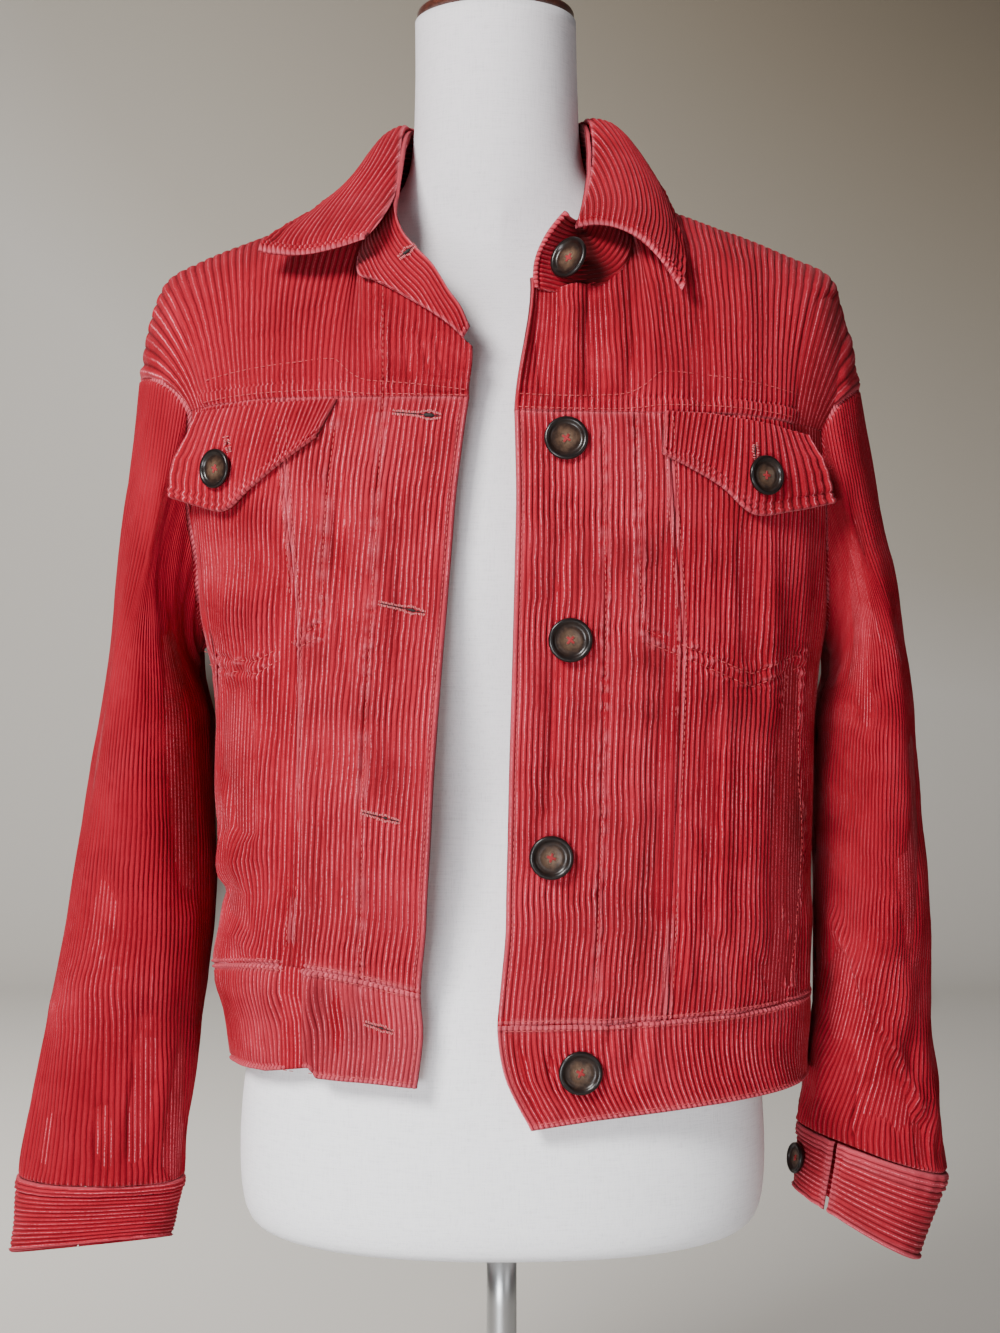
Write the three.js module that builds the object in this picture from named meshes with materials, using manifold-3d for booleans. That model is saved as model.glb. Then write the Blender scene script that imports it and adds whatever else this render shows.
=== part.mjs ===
import * as THREE from "three";
import Module from "manifold-3d";

// Corduroy jacket worn open on a limbless dress form with a pole and a round base.
// Millimetres. X runs to the viewer's right, Y away from the viewer and Z up; the origin is under the base.
// "right" is the wearer's right, at negative X, and "left" the wearer's left, at positive X.

// Cloth and seams
const CLOTH = 1.6;
const DOUBLE_CLOTH = 2.2;
const SEAM_GAP = 0.4;
const LAY_GAP = 0.5;
const YOKE_MITRE = 1.1;
const SHOULDER_MITRE = 6;

// View of the jacket from the front, used to place what is measured on the picture plane at Y = 0
const VIEW_DISTANCE = 1250;
const VIEW_HEIGHT = 635;
const VIEW_MIDDLE = [500, 666.5];
const VIEW_SCALE = 0.62;

// Roundness of the body's rings, front and back
const FRONT_POWER = 2.5;
const BACK_POWER = 2.35;

// Rings of the body by height: reach to each side, depth to front and back, X of the two front edges
const BODY = rows(
  ["z", "right", "left", "front", "back", "edgeRight", "edgeLeft"],
  [
    [360, 161, 188, 110, 108, -49, 20],
    [372, 161, 188.5, 110.5, 108, -49, 17.5],
    [386, 161.5, 189, 111, 107, -48.5, 10],
    [403, 165, 189, 111.5, 106, -46, 2.5],
    [427, 169, 190, 112, 106, -43.5, -1.5],
    [450, 176, 190, 113, 105, -45, 0],
    [483, 171, 191, 114, 102, -42, 3],
    [504, 167.5, 190, 115, 100, -41, 3.4],
    [536, 172, 191, 116.5, 100, -39, 4.2],
    [574, 174.5, 192, 118, 102, -37, 5],
    [634, 175.5, 195, 120.5, 108, -32.5, 6.7],
    [664, 183, 199.5, 121.5, 111, -30, 7.5],
    [701, 188.5, 203, 121.5, 114, -27, 8.4],
    [732, 195.5, 205, 120, 116, -24.5, 9],
    [769, 198, 205, 116, 116, -20, 8.3],
    [792, 199, 204, 112, 115, -16.8, 8],
    [830, 199, 203, 105, 112, -14, 12],
  ],
);

// Seams round the body, by share of the way from front edge to middle of the back
const HEM = rows(
  ["q", "right", "left"],
  [
    [0, 396, 372],
    [0.1, 398, 378],
    [0.3, 398, 385],
    [0.55, 392, 388],
    [1, 391, 391],
  ],
);
const WAIST = rows(
  ["q", "right", "left"],
  [
    [0, 450, 432],
    [0.12, 460, 433],
    [0.25, 463, 435],
    [0.55, 447, 441],
    [1, 444, 444],
  ],
);
const YOKE_SEAM = rows(
  ["q", "right", "left"],
  [
    [0, 787.5, 780],
    [0.1, 788, 779],
    [0.25, 789, 780],
    [0.38, 786, 775],
    [0.5, 783, 770],
    [1, 788, 786],
  ],
);

// Armhole: Y where it leaves the yoke seam in front, reaches its foot and meets the yoke seam behind
const ARMHOLE = { frontY: -54, footY: 4, backY: 56, seamZ: 785, footZ: 652 };

// Upper edge of the yokes: neckline, shoulder seam, then the fall of the dropped shoulder to the armhole
const YOKE_TOP_RIGHT = rows(
  ["u", "x", "y", "z", "back", "up"],
  [
    [0, -15.5, -111.5, 816, 0.3, 0.95],
    [0.12, -37, -104.5, 837, 0.35, 0.93],
    [0.24, -60, -94.5, 853, 0.4, 0.9],
    [0.32, -78, -86.5, 862, 0.5, 0.85],
    [0.36, -82.5, -60, 881, 0.75, 0.6],
    [0.39, -81.5, -30, 904, 0.9, 0.35],
    [0.42, -77, 2, 923, 1, 0.05],
    [0.55, -113, 2, 912, 1, 0],
    [0.7, -150, 1, 898, 1, 0],
    [0.82, -186, 0, 884, 1, 0],
    [0.88, -206, -2, 872, 1, 0],
    [0.94, -217, -2, 846, 1, 0],
    [1, -223, 0, 812, 1, 0],
  ],
);
const YOKE_TOP_LEFT = rows(
  ["u", "x", "y", "z", "back", "up"],
  [
    [0, 17.5, -102, 852, 0.4, 0.9],
    [0.12, 35, -99, 848, 0.35, 0.92],
    [0.24, 55, -93.5, 852, 0.4, 0.9],
    [0.32, 70, -85, 861, 0.5, 0.85],
    [0.36, 78.5, -60, 882, 0.75, 0.6],
    [0.39, 80.5, -30, 905, 0.9, 0.35],
    [0.42, 77, 2, 924, 1, 0.05],
    [0.55, 113, 2, 912.5, 1, 0],
    [0.7, 150, 1, 899, 1, 0],
    [0.82, 184, 0, 886, 1, 0],
    [0.88, 204, -2, 873, 1, 0],
    [0.94, 214, -2, 845, 1, 0],
    [1, 223, 0, 806, 1, 0],
  ],
);
const BACK_TOP = rows(
  ["u", "x", "y", "z", "back", "up"],
  [
    [0, 0, 60, 911, -0.6, 0.8],
    [0.16, 34, 51, 914, -0.6, 0.75],
    [0.32, 62, 30, 920, -0.8, 0.4],
    [0.42, 77, 2, 923.5, -1, 0.05],
    [0.55, 113, 2, 912, -1, 0],
    [0.7, 150, 1, 898.5, -1, 0],
    [0.82, 185, 0, 885, -1, 0],
    [0.88, 205, -2, 872.5, -1, 0],
    [0.94, 215.5, -2, 845.5, -1, 0],
    [1, 223, 0, 809, -1, 0],
  ],
);

// Seam between the centre and side panels of each front, by height: X on the picture plane
const PANEL_SEAM = rows(
  ["z", "right", "left"],
  [
    [420, -131, 104],
    [450, -131, 105],
    [520, -129, 108],
    [600, -127, 112],
    [660, -127, 113],
    [740, -134, 107],
    [800, -137, 104],
  ],
);

// Sleeve rings below the armhole: middle, half widths, turn about Z in degrees, slope of the ring along X
const SLEEVE_RIGHT = rows(
  ["z", "x", "y", "halfX", "halfY", "turn", "slope"],
  [
    [600, -214, 10, 33, 68, 0, 0],
    [552, -217.5, 10, 38.5, 63, 0, 0],
    [483, -223.5, 8, 44.5, 56, 0, 0],
    [444, -228.5, 5, 46.5, 52, 0, 0],
    [414, -233.5, 2, 46.5, 47, 0, 0],
    [374, -238.7, -2, 48.5, 41, 0, 0],
    [345, -243.5, -4, 49.5, 36, 0, 0],
    [322, -246, -5, 51, 33, 0, -0.02],
  ],
);
const SLEEVE_LEFT = rows(
  ["z", "x", "y", "halfX", "halfY", "turn", "slope"],
  [
    [600, 227, 12, 28.5, 70, 0, 0],
    [552, 228.5, 13, 31, 66, 0, 0],
    [483, 231.5, 14, 34, 60, 0, 0],
    [444, 232.5, 14, 35, 57, 4, 0],
    [414, 232.5, 13, 37, 53, 8, -0.04],
    [384, 232, 10, 41, 47, 14, -0.12],
    [355, 230.5, 6, 43, 40, 20, -0.22],
    [338, 231, 3, 46, 35, 24, -0.3],
  ],
);
// Share of a sleeve's length taken by the fall from the armhole to its first ring
const SLEEVE_HEAD = 0.36;

// Cuffs: upper and lower ring, and the shares of the way round where the opening starts and ends
const CUFFS = {
  right: {
    top: { z: 321.6, x: -246, y: -5, halfX: 50.8, halfY: 32.8, turn: 0, slope: -0.02 },
    foot: { z: 273, x: -252.5, y: -6, halfX: 50, halfY: 29, turn: 0, slope: 0.06 },
    open: [0.79, 0.805],
  },
  left: {
    top: { z: 337, x: 231, y: 3, halfX: 46, halfY: 34, turn: 24, slope: -0.3 },
    foot: { z: 294, x: 224, y: 0, halfX: 44, halfY: 31, turn: 24, slope: -0.3 },
    open: [0.318, 0.335],
  },
};

// Collar stand from the right front round the neck to the left front: lower and upper edge
const STAND = rows(
  ["s", "x", "y", "z", "topX", "topY", "topZ"],
  [
    [0, -20.5, -112.5, 821, -17, -111.5, 827.5],
    [1, -28.5, -111.5, 829, -22, -107.5, 839],
    [2, -37, -109, 836, -30, -101, 851],
    [3, -48, -104.5, 844, -38.5, -94, 866],
    [4, -60, -99.5, 852, -48.5, -87, 877.5],
    [5, -71, -95.5, 858.5, -56, -79, 888],
    [6, -80, -91.5, 863, -60, -72.5, 899],
    [7, -82, -62, 882, -60, -59, 915],
    [8, -80, -32, 905.5, -58, -38, 940.5],
    [9, -75, 0, 925, -56.5, -8, 964],
    [10, -60, 28, 923.5, -50, 26, 973.5],
    [11, -33, 48, 918, -30, 50, 977.5],
    [12, 0, 57, 915, -3, 59.5, 979.5],
    [13, 33, 48, 918, 25, 50, 978.5],
    [14, 60, 28, 923.5, 45, 26, 976.5],
    [15, 75, 0, 926, 52.5, -8, 968],
    [16, 77, -32, 907.5, 53, -38, 938.5],
    [17, 76, -62, 883.5, 49.5, -60, 913.5],
    [18, 68, -83, 864.5, 45.5, -69, 897],
    [19, 54, -92, 855.5, 42, -74, 893.5],
    [20, 35, -98, 851.5, 38, -78, 892],
    [21, 19, -101, 855.5, 34, -80, 890],
  ],
);

// Collar leaf from its right point round the neck to its left point: fold, outer edge and fullness between them
const LEAF = rows(
  ["s", "x", "y", "z", "edgeX", "edgeY", "edgeZ", "full"],
  [
    [0, -62.5, -75, 900, -143, -70, 884, 2],
    [1, -62, -60, 916, -124, -48, 899, 4],
    [2, -60.5, -38, 942, -103, -22, 917, 5],
    [3, -59, -8, 966, -87, 8, 935, 5],
    [4, -52, 28, 975, -75, 45, 934, 5],
    [5, -31, 52.6, 978.5, -48, 80, 927, 5],
    [6, -3, 62.2, 980.5, -2, 92, 924, 5],
    [7, 26, 52.6, 979.5, 46, 80, 928, 5],
    [8, 47, 28, 978, 72, 45, 938, 6],
    [9, 55, -8, 970, 85, 2, 944, 8],
    [10, 55.5, -38, 940, 101, -32, 912, 9],
    [11, 52, -62, 915, 108, -68, 878, 9],
    [12, 47.5, -76, 898, 105, -94, 851, 6],
  ],
);

// Pocket flaps, on the picture plane: upper and lower edge from the inner to the outer corner
const FLAP_RIGHT = rows(
  ["w", "x", "y", "footX", "footY", "bow"],
  [
    [0, 334, 406, 318, 440, 0],
    [0.25, 305, 407, 284, 463, 0],
    [0.5, 270, 408, 252, 490, -2],
    [0.7, 240, 411, 229, 511, -5],
    [0.85, 222, 414, 203, 506, -7],
    [1, 205, 419, 179, 498, -9],
  ],
);
const FLAP_LEFT = rows(
  ["w", "x", "y", "footX", "footY", "bow"],
  [
    [0, 676, 418, 661, 455, 0],
    [0.25, 705, 420, 691, 470, 0],
    [0.45, 728, 422, 720, 488, 0],
    [0.65, 752, 426, 751, 515, 2],
    [0.82, 776, 431, 787, 512, 4],
    [1, 800, 438, 826, 504, 4],
  ],
);

// Buttons: place on the picture plane, radius and, where it is turned, the way it faces
const BUTTONS = [
  { name: "button_stand", at: [570, 259], radius: 12.5, faces: [-0.5, -0.8, 0.33], centre: [40.35, -98.65, 868.45] },
  { name: "button_front_1", at: [566, 439], radius: 12.5, extra: 0.3 },
  { name: "button_front_2", at: [570, 640], radius: 12.5, extra: 0.5 },
  { name: "button_front_3", at: [551, 857], radius: 12.5, extra: 1.2 },
  { name: "button_waistband", at: [580, 1072], radius: 12.5, extra: DOUBLE_CLOTH - CLOTH + 0.4 },
  { name: "button_flap_right", at: [224, 470], radius: 11.5, extra: LAY_GAP + DOUBLE_CLOTH + 2.6 },
  { name: "button_flap_left", at: [760, 477], radius: 11.5, extra: LAY_GAP + DOUBLE_CLOTH + 1.6 },
];
const CUFF_BUTTONS = [
  { name: "button_cuff_right", side: "right", share: 0.74, drop: 0.5, radius: 9.5 },
  { name: "button_cuff_left", side: "left", share: 0.405, drop: 0.5, radius: 9.5 },
];
// Share of the reach to the side past which a flap runs straight on, and how far its outer corner stands off
const FLAP_STRAIGHT = 0.82;
const FLAP_STAND_OFF = 5;
const BUTTON_HEIGHT = 4;
const BUTTON_HOLE = 1.2;
const BUTTON_HOLE_PITCH = 2.3;

// Larger folds, on the picture plane: two ends, half width and height in millimetres, negative for a trough
const FOLDS = rows(
  ["x0", "y0", "x1", "y1", "half", "high"],
  [
    [291, 960, 293, 1075, 7, -5],
    [243, 835, 229, 885, 12, 4],
    [237, 690, 243, 850, 9, -3],
    [155, 300, 192, 450, 11, -5],
    [829, 300, 815, 450, 11, -5],
    [550, 274, 546, 389, 8, -4],
    [598, 251, 595, 374, 8, -4],
    [574, 270, 570, 400, 8, 3],
    [430, 700, 433, 960, 9, 2.5],
    [385, 520, 360, 950, 12, 2],
    [530, 460, 525, 980, 10, 2.5],
    [792, 674, 785, 980, 8, -3],
    [287, 560, 292, 940, 8, -2.5],
    [675, 540, 669, 980, 8, -2.5],
    [600, 985, 612, 1060, 12, 3],
  ],
);

// Dress form by height: half width to each side, depth to front and back, roundness
const FORM = rows(
  ["z", "right", "left", "front", "back", "power"],
  [
    [289, 118, 121, 74, 80, 2.2],
    [291.5, 139, 142, 88, 96, 2.25],
    [298, 152, 155, 95, 106, 2.25],
    [312, 158, 161, 98, 109, 2.25],
    [340, 160, 163, 99, 110, 2.25],
    [366, 159, 162, 98, 109, 2.25],
    [392, 156, 160, 97, 104, 2.25],
    [430, 149, 153, 94, 97, 2.25],
    [490, 130, 134, 86, 84, 2.2],
    [550, 121, 124, 84, 78, 2.2],
    [610, 129, 132, 94, 86, 2.2],
    [680, 142, 145, 106, 97, 2.2],
    [730, 149, 152, 104, 100, 2.2],
    [780, 154, 156, 96, 98, 2.2],
    [820, 158, 160, 84, 92, 2],
    [850, 160, 162, 70, 82, 1.8],
    [872, 156, 158, 58, 71, 1.5],
    [886, 142, 144, 51, 62, 1.3],
    [897, 120, 121, 49, 56, 1.25],
    [908, 92, 92, 49, 52, 1.35],
    [918, 72, 71, 49.5, 50, 1.6],
    [930, 60.5, 57.5, 50, 50, 1.9],
    [950, 54.5, 50.5, 50, 50.5, 2],
    [990, 52.5, 48, 50, 50, 2],
    [1033, 52.5, 47, 50, 49, 2],
  ],
);
const NECK_X = -2.8;
const NECK_TOP = 1033;
const CAP_TILT = 0;
const POLE = { x: 1, y: 0, radius: 9.3, foot: 12.4, top: 288.6 };
const BASE_RADIUS = 150;
const BASE_HEIGHT = 12;

const COLOURS = {
  cloth: 0xb8323c,
  horn: 0x33241f,
  canvas: 0xe9e6df,
  wood: 0x4a1d14,
  metal: 0x8d8f93,
};

function rows(names, values) {
  return values.map((row) => Object.fromEntries(names.map((name, i) => [name, row[i]])));
}

// Value of one column at t, a smooth curve through the rows
function at(table, column, t) {
  const key = Object.keys(table[0])[0];
  const rising = table[table.length - 1][key] > table[0][key];
  const inOrder = rising ? table : table.slice().reverse();
  const last = inOrder.length - 1;
  const clamped = Math.min(Math.max(t, inOrder[0][key]), inOrder[last][key]);
  let i = 0;
  while (i < last - 1 && inOrder[i + 1][key] < clamped) i += 1;
  const slope = (k) => {
    const a = inOrder[Math.max(k - 1, 0)];
    const b = inOrder[Math.min(k + 1, last)];
    return (b[column] - a[column]) / (b[key] - a[key]);
  };
  const span = inOrder[i + 1][key] - inOrder[i][key];
  const w = (clamped - inOrder[i][key]) / span;
  return hermite(inOrder[i][column], slope(i) * span, inOrder[i + 1][column], slope(i + 1) * span, w);
}

function hermite(a, slopeA, b, slopeB, w) {
  const w2 = w * w;
  const w3 = w2 * w;
  return a * (2 * w3 - 3 * w2 + 1) + slopeA * (w3 - 2 * w2 + w) + b * (3 * w2 - 2 * w3) + slopeB * (w3 - w2);
}

const point = (x, y, z) => new THREE.Vector3(x, y, z);
const blend = (a, b, w) => a + (b - a) * w;

// Ring of the body at a height, as points from the front edge to the middle of the back with their lengths along it
const ringStore = new Map();
function ring(side, z) {
  const name = `${side}${z.toFixed(2)}`;
  if (ringStore.has(name)) return ringStore.get(name);
  const sign = side === "left" ? 1 : -1;
  const reach = at(BODY, side, z);
  const front = at(BODY, "front", z);
  const back = at(BODY, "back", z);
  const edge = at(BODY, side === "left" ? "edgeLeft" : "edgeRight", z) * sign;
  const points = [];
  const steps = 90;
  for (let i = 0; i <= steps; i += 1) {
    const x = blend(edge, reach * 0.8, i / steps);
    const y = -front * (1 - Math.abs(x / reach) ** FRONT_POWER) ** (1 / FRONT_POWER);
    points.push([x * sign, y]);
  }
  const from = Math.asin(0.8 ** (FRONT_POWER / 2));
  for (let i = 1; i <= steps; i += 1) {
    const angle = blend(from, Math.PI / 2, i / steps);
    const x = reach * Math.sin(angle) ** (2 / FRONT_POWER);
    const y = -front * Math.abs(Math.cos(angle)) ** (2 / FRONT_POWER);
    points.push([x * sign, y]);
  }
  for (let i = 1; i <= 2 * steps; i += 1) {
    const angle = blend(Math.PI / 2, Math.PI, i / (2 * steps));
    const x = reach * Math.abs(Math.sin(angle)) ** (2 / BACK_POWER);
    const y = back * Math.abs(Math.cos(angle)) ** (2 / BACK_POWER);
    points.push([x * sign, y]);
  }
  const lengths = [0];
  for (let i = 1; i < points.length; i += 1) {
    const step = Math.hypot(points[i][0] - points[i - 1][0], points[i][1] - points[i - 1][1]);
    lengths.push(lengths[i - 1] + step);
  }
  const made = { points, lengths };
  ringStore.set(name, made);
  return made;
}

// Point of the body at a share q of the way round and a height, before folds
function plainBody(side, q, z) {
  const { points, lengths } = ring(side, z);
  const wanted = q * lengths[lengths.length - 1];
  let low = 0;
  let high = lengths.length - 1;
  while (high - low > 1) {
    const middle = (low + high) >> 1;
    if (lengths[middle] <= wanted) low = middle;
    else high = middle;
  }
  const w = (wanted - lengths[low]) / (lengths[high] - lengths[low]);
  return point(blend(points[low][0], points[high][0], w), blend(points[low][1], points[high][1], w), z);
}

// Height of the folds at a point that faces the viewer
function foldHeight(p) {
  if (p.y > -5) return 0;
  const scale = VIEW_DISTANCE / (VIEW_DISTANCE + p.y);
  const x = p.x * scale;
  const z = VIEW_HEIGHT + (p.z - VIEW_HEIGHT) * scale;
  let sum = 0;
  for (const fold of FOLDS) {
    const x0 = (fold.x0 - VIEW_MIDDLE[0]) * VIEW_SCALE;
    const x1 = (fold.x1 - VIEW_MIDDLE[0]) * VIEW_SCALE;
    const z0 = VIEW_HEIGHT + (VIEW_MIDDLE[1] - fold.y0) * VIEW_SCALE;
    const z1 = VIEW_HEIGHT + (VIEW_MIDDLE[1] - fold.y1) * VIEW_SCALE;
    const dx = x1 - x0;
    const dz = z1 - z0;
    const long = dx * dx + dz * dz;
    const w = ((x - x0) * dx + (z - z0) * dz) / long;
    const inside = Math.min(Math.max(w, 0), 1);
    const away = Math.hypot(x - x0 - inside * dx, z - z0 - inside * dz) / fold.half;
    const ends = Math.sin(Math.PI * Math.min(Math.max(w * 0.9 + 0.05, 0), 1)) ** 0.5;
    if (away < 3) sum += fold.high * Math.exp(-away * away) * ends;
  }
  return sum;
}

// Surface given by a function of two shares, with its normal out of the cloth
function frameOf(surface, a, b) {
  const step = 0.012;
  const alongA = surface(a + step, b).sub(surface(a - step, b));
  const alongB = surface(a, b + step).sub(surface(a, b - step));
  return alongA.cross(alongB).normalize();
}

function towards(normal, p, middle) {
  const out = p.clone().sub(middle);
  return normal.dot(out) < 0 ? normal.negate() : normal;
}

// Body panels below the yoke seam: share q round and share v up, from one height line to another
function bodyAt(side, q, z) {
  return plainBody(side, q, z);
}

function bodyNormal(side, q, z) {
  const step = 4;
  const up = bodyAt(side, q, z + step).sub(bodyAt(side, q, z - step));
  const length = ring(side, z).lengths.at(-1);
  const across = bodyAt(side, Math.min(q + step / length, 1), z).sub(bodyAt(side, Math.max(q - step / length, 0), z));
  const normal = up.cross(across).normalize();
  return towards(normal, plainBody(side, q, z), point(0, 0, z));
}

function bodyPoint(side, q, z, out = 0) {
  const p = bodyAt(side, q, z);
  const normal = bodyNormal(side, q, z);
  return p.addScaledVector(normal, foldHeight(p) + out);
}

// Share of the way round at which the body has a given Y
function shareAtDepth(side, y, z) {
  let low = 0;
  let high = 1;
  for (let i = 0; i < 30; i += 1) {
    const middle = (low + high) / 2;
    if (plainBody(side, middle, z).y < y) low = middle;
    else high = middle;
  }
  return low;
}

function armholeOf(side) {
  const { frontY, footY, backY, seamZ, footZ } = ARMHOLE;
  return {
    front: shareAtDepth(side, frontY, seamZ),
    foot: shareAtDepth(side, footY, footZ),
    back: shareAtDepth(side, backY, seamZ),
    footZ,
  };
}

const armholes = { right: armholeOf("right"), left: armholeOf("left") };

// Height where the panels end: the yoke seam, or the armhole between its two meetings with it
function panelTop(side, q) {
  const hole = armholes[side];
  const seam = at(YOKE_SEAM, side, q);
  if (q <= hole.front || q >= hole.back) return seam;
  const half = q < hole.foot ? hole.foot - hole.front : hole.back - hole.foot;
  const w = Math.min(Math.abs(q - hole.foot) / half, 1);
  const rise = 1 - (1 - w ** 2.3) ** (1 / 2.3);
  return blend(hole.footZ, seam, rise);
}

// Yoke point: share u from the front edge (or the middle of the back) to the armhole, share v up to the upper edge
function yokeAt(side, face, u, v) {
  const sign = side === "left" ? 1 : -1;
  const hole = armholes[side];
  const share = Math.min(Math.max(u, 0), 1);
  const beyond = u - share;
  const q = face === "front" ? blend(0, hole.front, share) : blend(1, hole.back, share);
  const seam = at(YOKE_SEAM, side, q);
  const foot = plainBody(side, q, seam);
  const table = face === "back" ? BACK_TOP : side === "left" ? YOKE_TOP_LEFT : YOKE_TOP_RIGHT;
  const mirror = face === "back" ? sign : 1;
  const head = point(at(table, "x", share) * mirror, at(table, "y", share), at(table, "z", share));
  const span = foot.distanceTo(head);
  const outward = Math.max(share - 0.8, 0) / 0.2;
  const lean = face === "front" ? 0.16 : -0.1;
  const footWay = point(sign * (0.04 + 0.4 * outward ** 2), lean * (1 - outward), 1).normalize();
  const headWay = point(0, at(table, "back", share), at(table, "up", share)).normalize();
  const made = point(
    hermite(foot.x, footWay.x * span * 1.05, head.x, headWay.x * span, v),
    hermite(foot.y, footWay.y * span * 1.05, head.y, headWay.y * span, v),
    hermite(foot.z, footWay.z * span * 1.05, head.z, headWay.z * span, v),
  );
  if (beyond !== 0) {
    const inner = yokeAt(side, face, share - Math.sign(beyond) * 0.02, v);
    made.addScaledVector(made.clone().sub(inner), Math.abs(beyond) / 0.02);
  }
  return made;
}

function yokePoint(side, face, u, v, out = 0) {
  const p = yokeAt(side, face, u, v);
  const middle = point(0, 0, 780);
  const normal = towards(frameOf((a, b) => yokeAt(side, face, a, b), u, v), p, middle);
  return p.addScaledVector(normal, (face === "front" ? foldHeight(p) : 0) + out);
}

// Armhole as a closed line: from its top down the front, past its foot and up the back
function armhole(side) {
  const hole = armholes[side];
  const points = [];
  const steps = 24;
  for (let i = 0; i < steps; i += 1) points.push(yokeAt(side, "front", 1, 1 - i / steps));
  for (let i = 0; i <= 2 * steps; i += 1) {
    const angle = (Math.PI * i) / (2 * steps);
    const share = (1 - Math.cos(angle)) / 2;
    const q = share < 0.5 ? blend(hole.front, hole.foot, share * 2) : blend(hole.foot, hole.back, share * 2 - 1);
    points.push(plainBody(side, q, panelTop(side, q)));
  }
  for (let i = 1; i <= steps; i += 1) points.push(yokeAt(side, "back", 1, i / steps));
  return points;
}

function alongClosed(points, share) {
  const lengths = [0];
  for (let i = 1; i < points.length; i += 1) lengths.push(lengths[i - 1] + points[i].distanceTo(points[i - 1]));
  const wanted = (share - Math.floor(share)) * lengths.at(-1);
  let i = 1;
  while (i < points.length - 1 && lengths[i] < wanted) i += 1;
  const w = (wanted - lengths[i - 1]) / (lengths[i] - lengths[i - 1]);
  return points[i - 1].clone().lerp(points[i], w);
}

// Point of a sleeve or cuff ring: share 0 is outermost, 0.25 in front, 0.5 next to the body
function ringPoint(side, section, share, out = 0) {
  const sign = side === "left" ? 1 : -1;
  const angle = share * 2 * Math.PI;
  const power = 2 / 2.15;
  const wide = Math.sign(Math.cos(angle)) * Math.abs(Math.cos(angle)) ** power * (section.halfX + out);
  const deep = -Math.sign(Math.sin(angle)) * Math.abs(Math.sin(angle)) ** power * (section.halfY + out);
  const turn = (-section.turn * Math.PI) / 180;
  const x = sign * wide * Math.cos(turn) - deep * Math.sin(turn);
  const y = sign * wide * Math.sin(turn) + deep * Math.cos(turn);
  return point(section.x + x, section.y + y, section.z + section.slope * x);
}

function sleeveSection(side, z) {
  const table = side === "left" ? SLEEVE_LEFT : SLEEVE_RIGHT;
  const names = ["x", "y", "halfX", "halfY", "turn", "slope"];
  return Object.fromEntries([["z", z], ...names.map((name) => [name, at(table, name, z)])]);
}

// Sleeve folds: share round, share down, half widths in those shares and depth
const SLEEVE_FOLDS = {
  right: rows(
    ["share", "down", "halfShare", "halfDown", "high"],
    [
      [0.2, 0.72, 0.1, 0.03, 3],
      [0.3, 0.77, 0.1, 0.025, -3],
      [0.42, 0.93, 0.035, 0.1, -5],
      [0.33, 0.95, 0.03, 0.08, 2.5],
      [0.14, 0.94, 0.03, 0.08, -3],
      [0.1, 0.35, 0.05, 0.12, -3],
      [0.7, 0.74, 0.09, 0.03, -3],
    ],
  ),
  left: rows(
    ["share", "down", "halfShare", "halfDown", "high"],
    [
      [0.27, 0.7, 0.05, 0.06, 4],
      [0.2, 0.78, 0.05, 0.06, 4],
      [0.36, 0.74, 0.04, 0.08, -5],
      [0.1, 0.86, 0.05, 0.07, 3],
      [0.12, 0.4, 0.04, 0.12, -3],
      [0.7, 0.75, 0.09, 0.04, -3],
    ],
  ),
};

function sleeveAt(side, share, v, armholePoints) {
  const sign = side === "left" ? 1 : -1;
  const table = side === "left" ? SLEEVE_LEFT : SLEEVE_RIGHT;
  const first = table[0].z;
  const last = table.at(-1).z;
  if (v >= SLEEVE_HEAD) {
    const z = blend(first, last, (v - SLEEVE_HEAD) / (1 - SLEEVE_HEAD));
    return ringPoint(side, sleeveSection(side, z), share);
  }
  const w = v / SLEEVE_HEAD;
  const start = alongClosed(armholePoints, share);
  const end = ringPoint(side, sleeveSection(side, first), share);
  const lower = ringPoint(side, sleeveSection(side, first - 8), share);
  const away = 0.45 - 0.33 * Math.cos(share * 2 * Math.PI);
  const forward = -0.12 * Math.sin(share * 2 * Math.PI);
  const startWay = point(sign * away, forward, -Math.sqrt(1 - away * away - forward * forward));
  start.addScaledVector(startWay, SEAM_GAP + 0.2);
  start.x += sign * 1.2 * Math.max(-Math.cos(share * 2 * Math.PI), 0);
  const span = start.distanceTo(end);
  const endWay = lower.sub(end).normalize();
  return point(
    hermite(start.x, startWay.x * span, end.x, endWay.x * span, w),
    hermite(start.y, startWay.y * span, end.y, endWay.y * span, w),
    hermite(start.z, startWay.z * span, end.z, endWay.z * span, w),
  );
}

function sleeveFold(side, share, v) {
  let sum = 0;
  for (const fold of SLEEVE_FOLDS[side]) {
    const across = Math.abs(((share - fold.share + 1.5) % 1) - 0.5) / fold.halfShare;
    const down = (v - fold.down) / fold.halfDown;
    sum += fold.high * Math.exp(-across * across - down * down);
  }
  return sum * Math.min((1 - v) / 0.03, 1);
}

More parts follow.
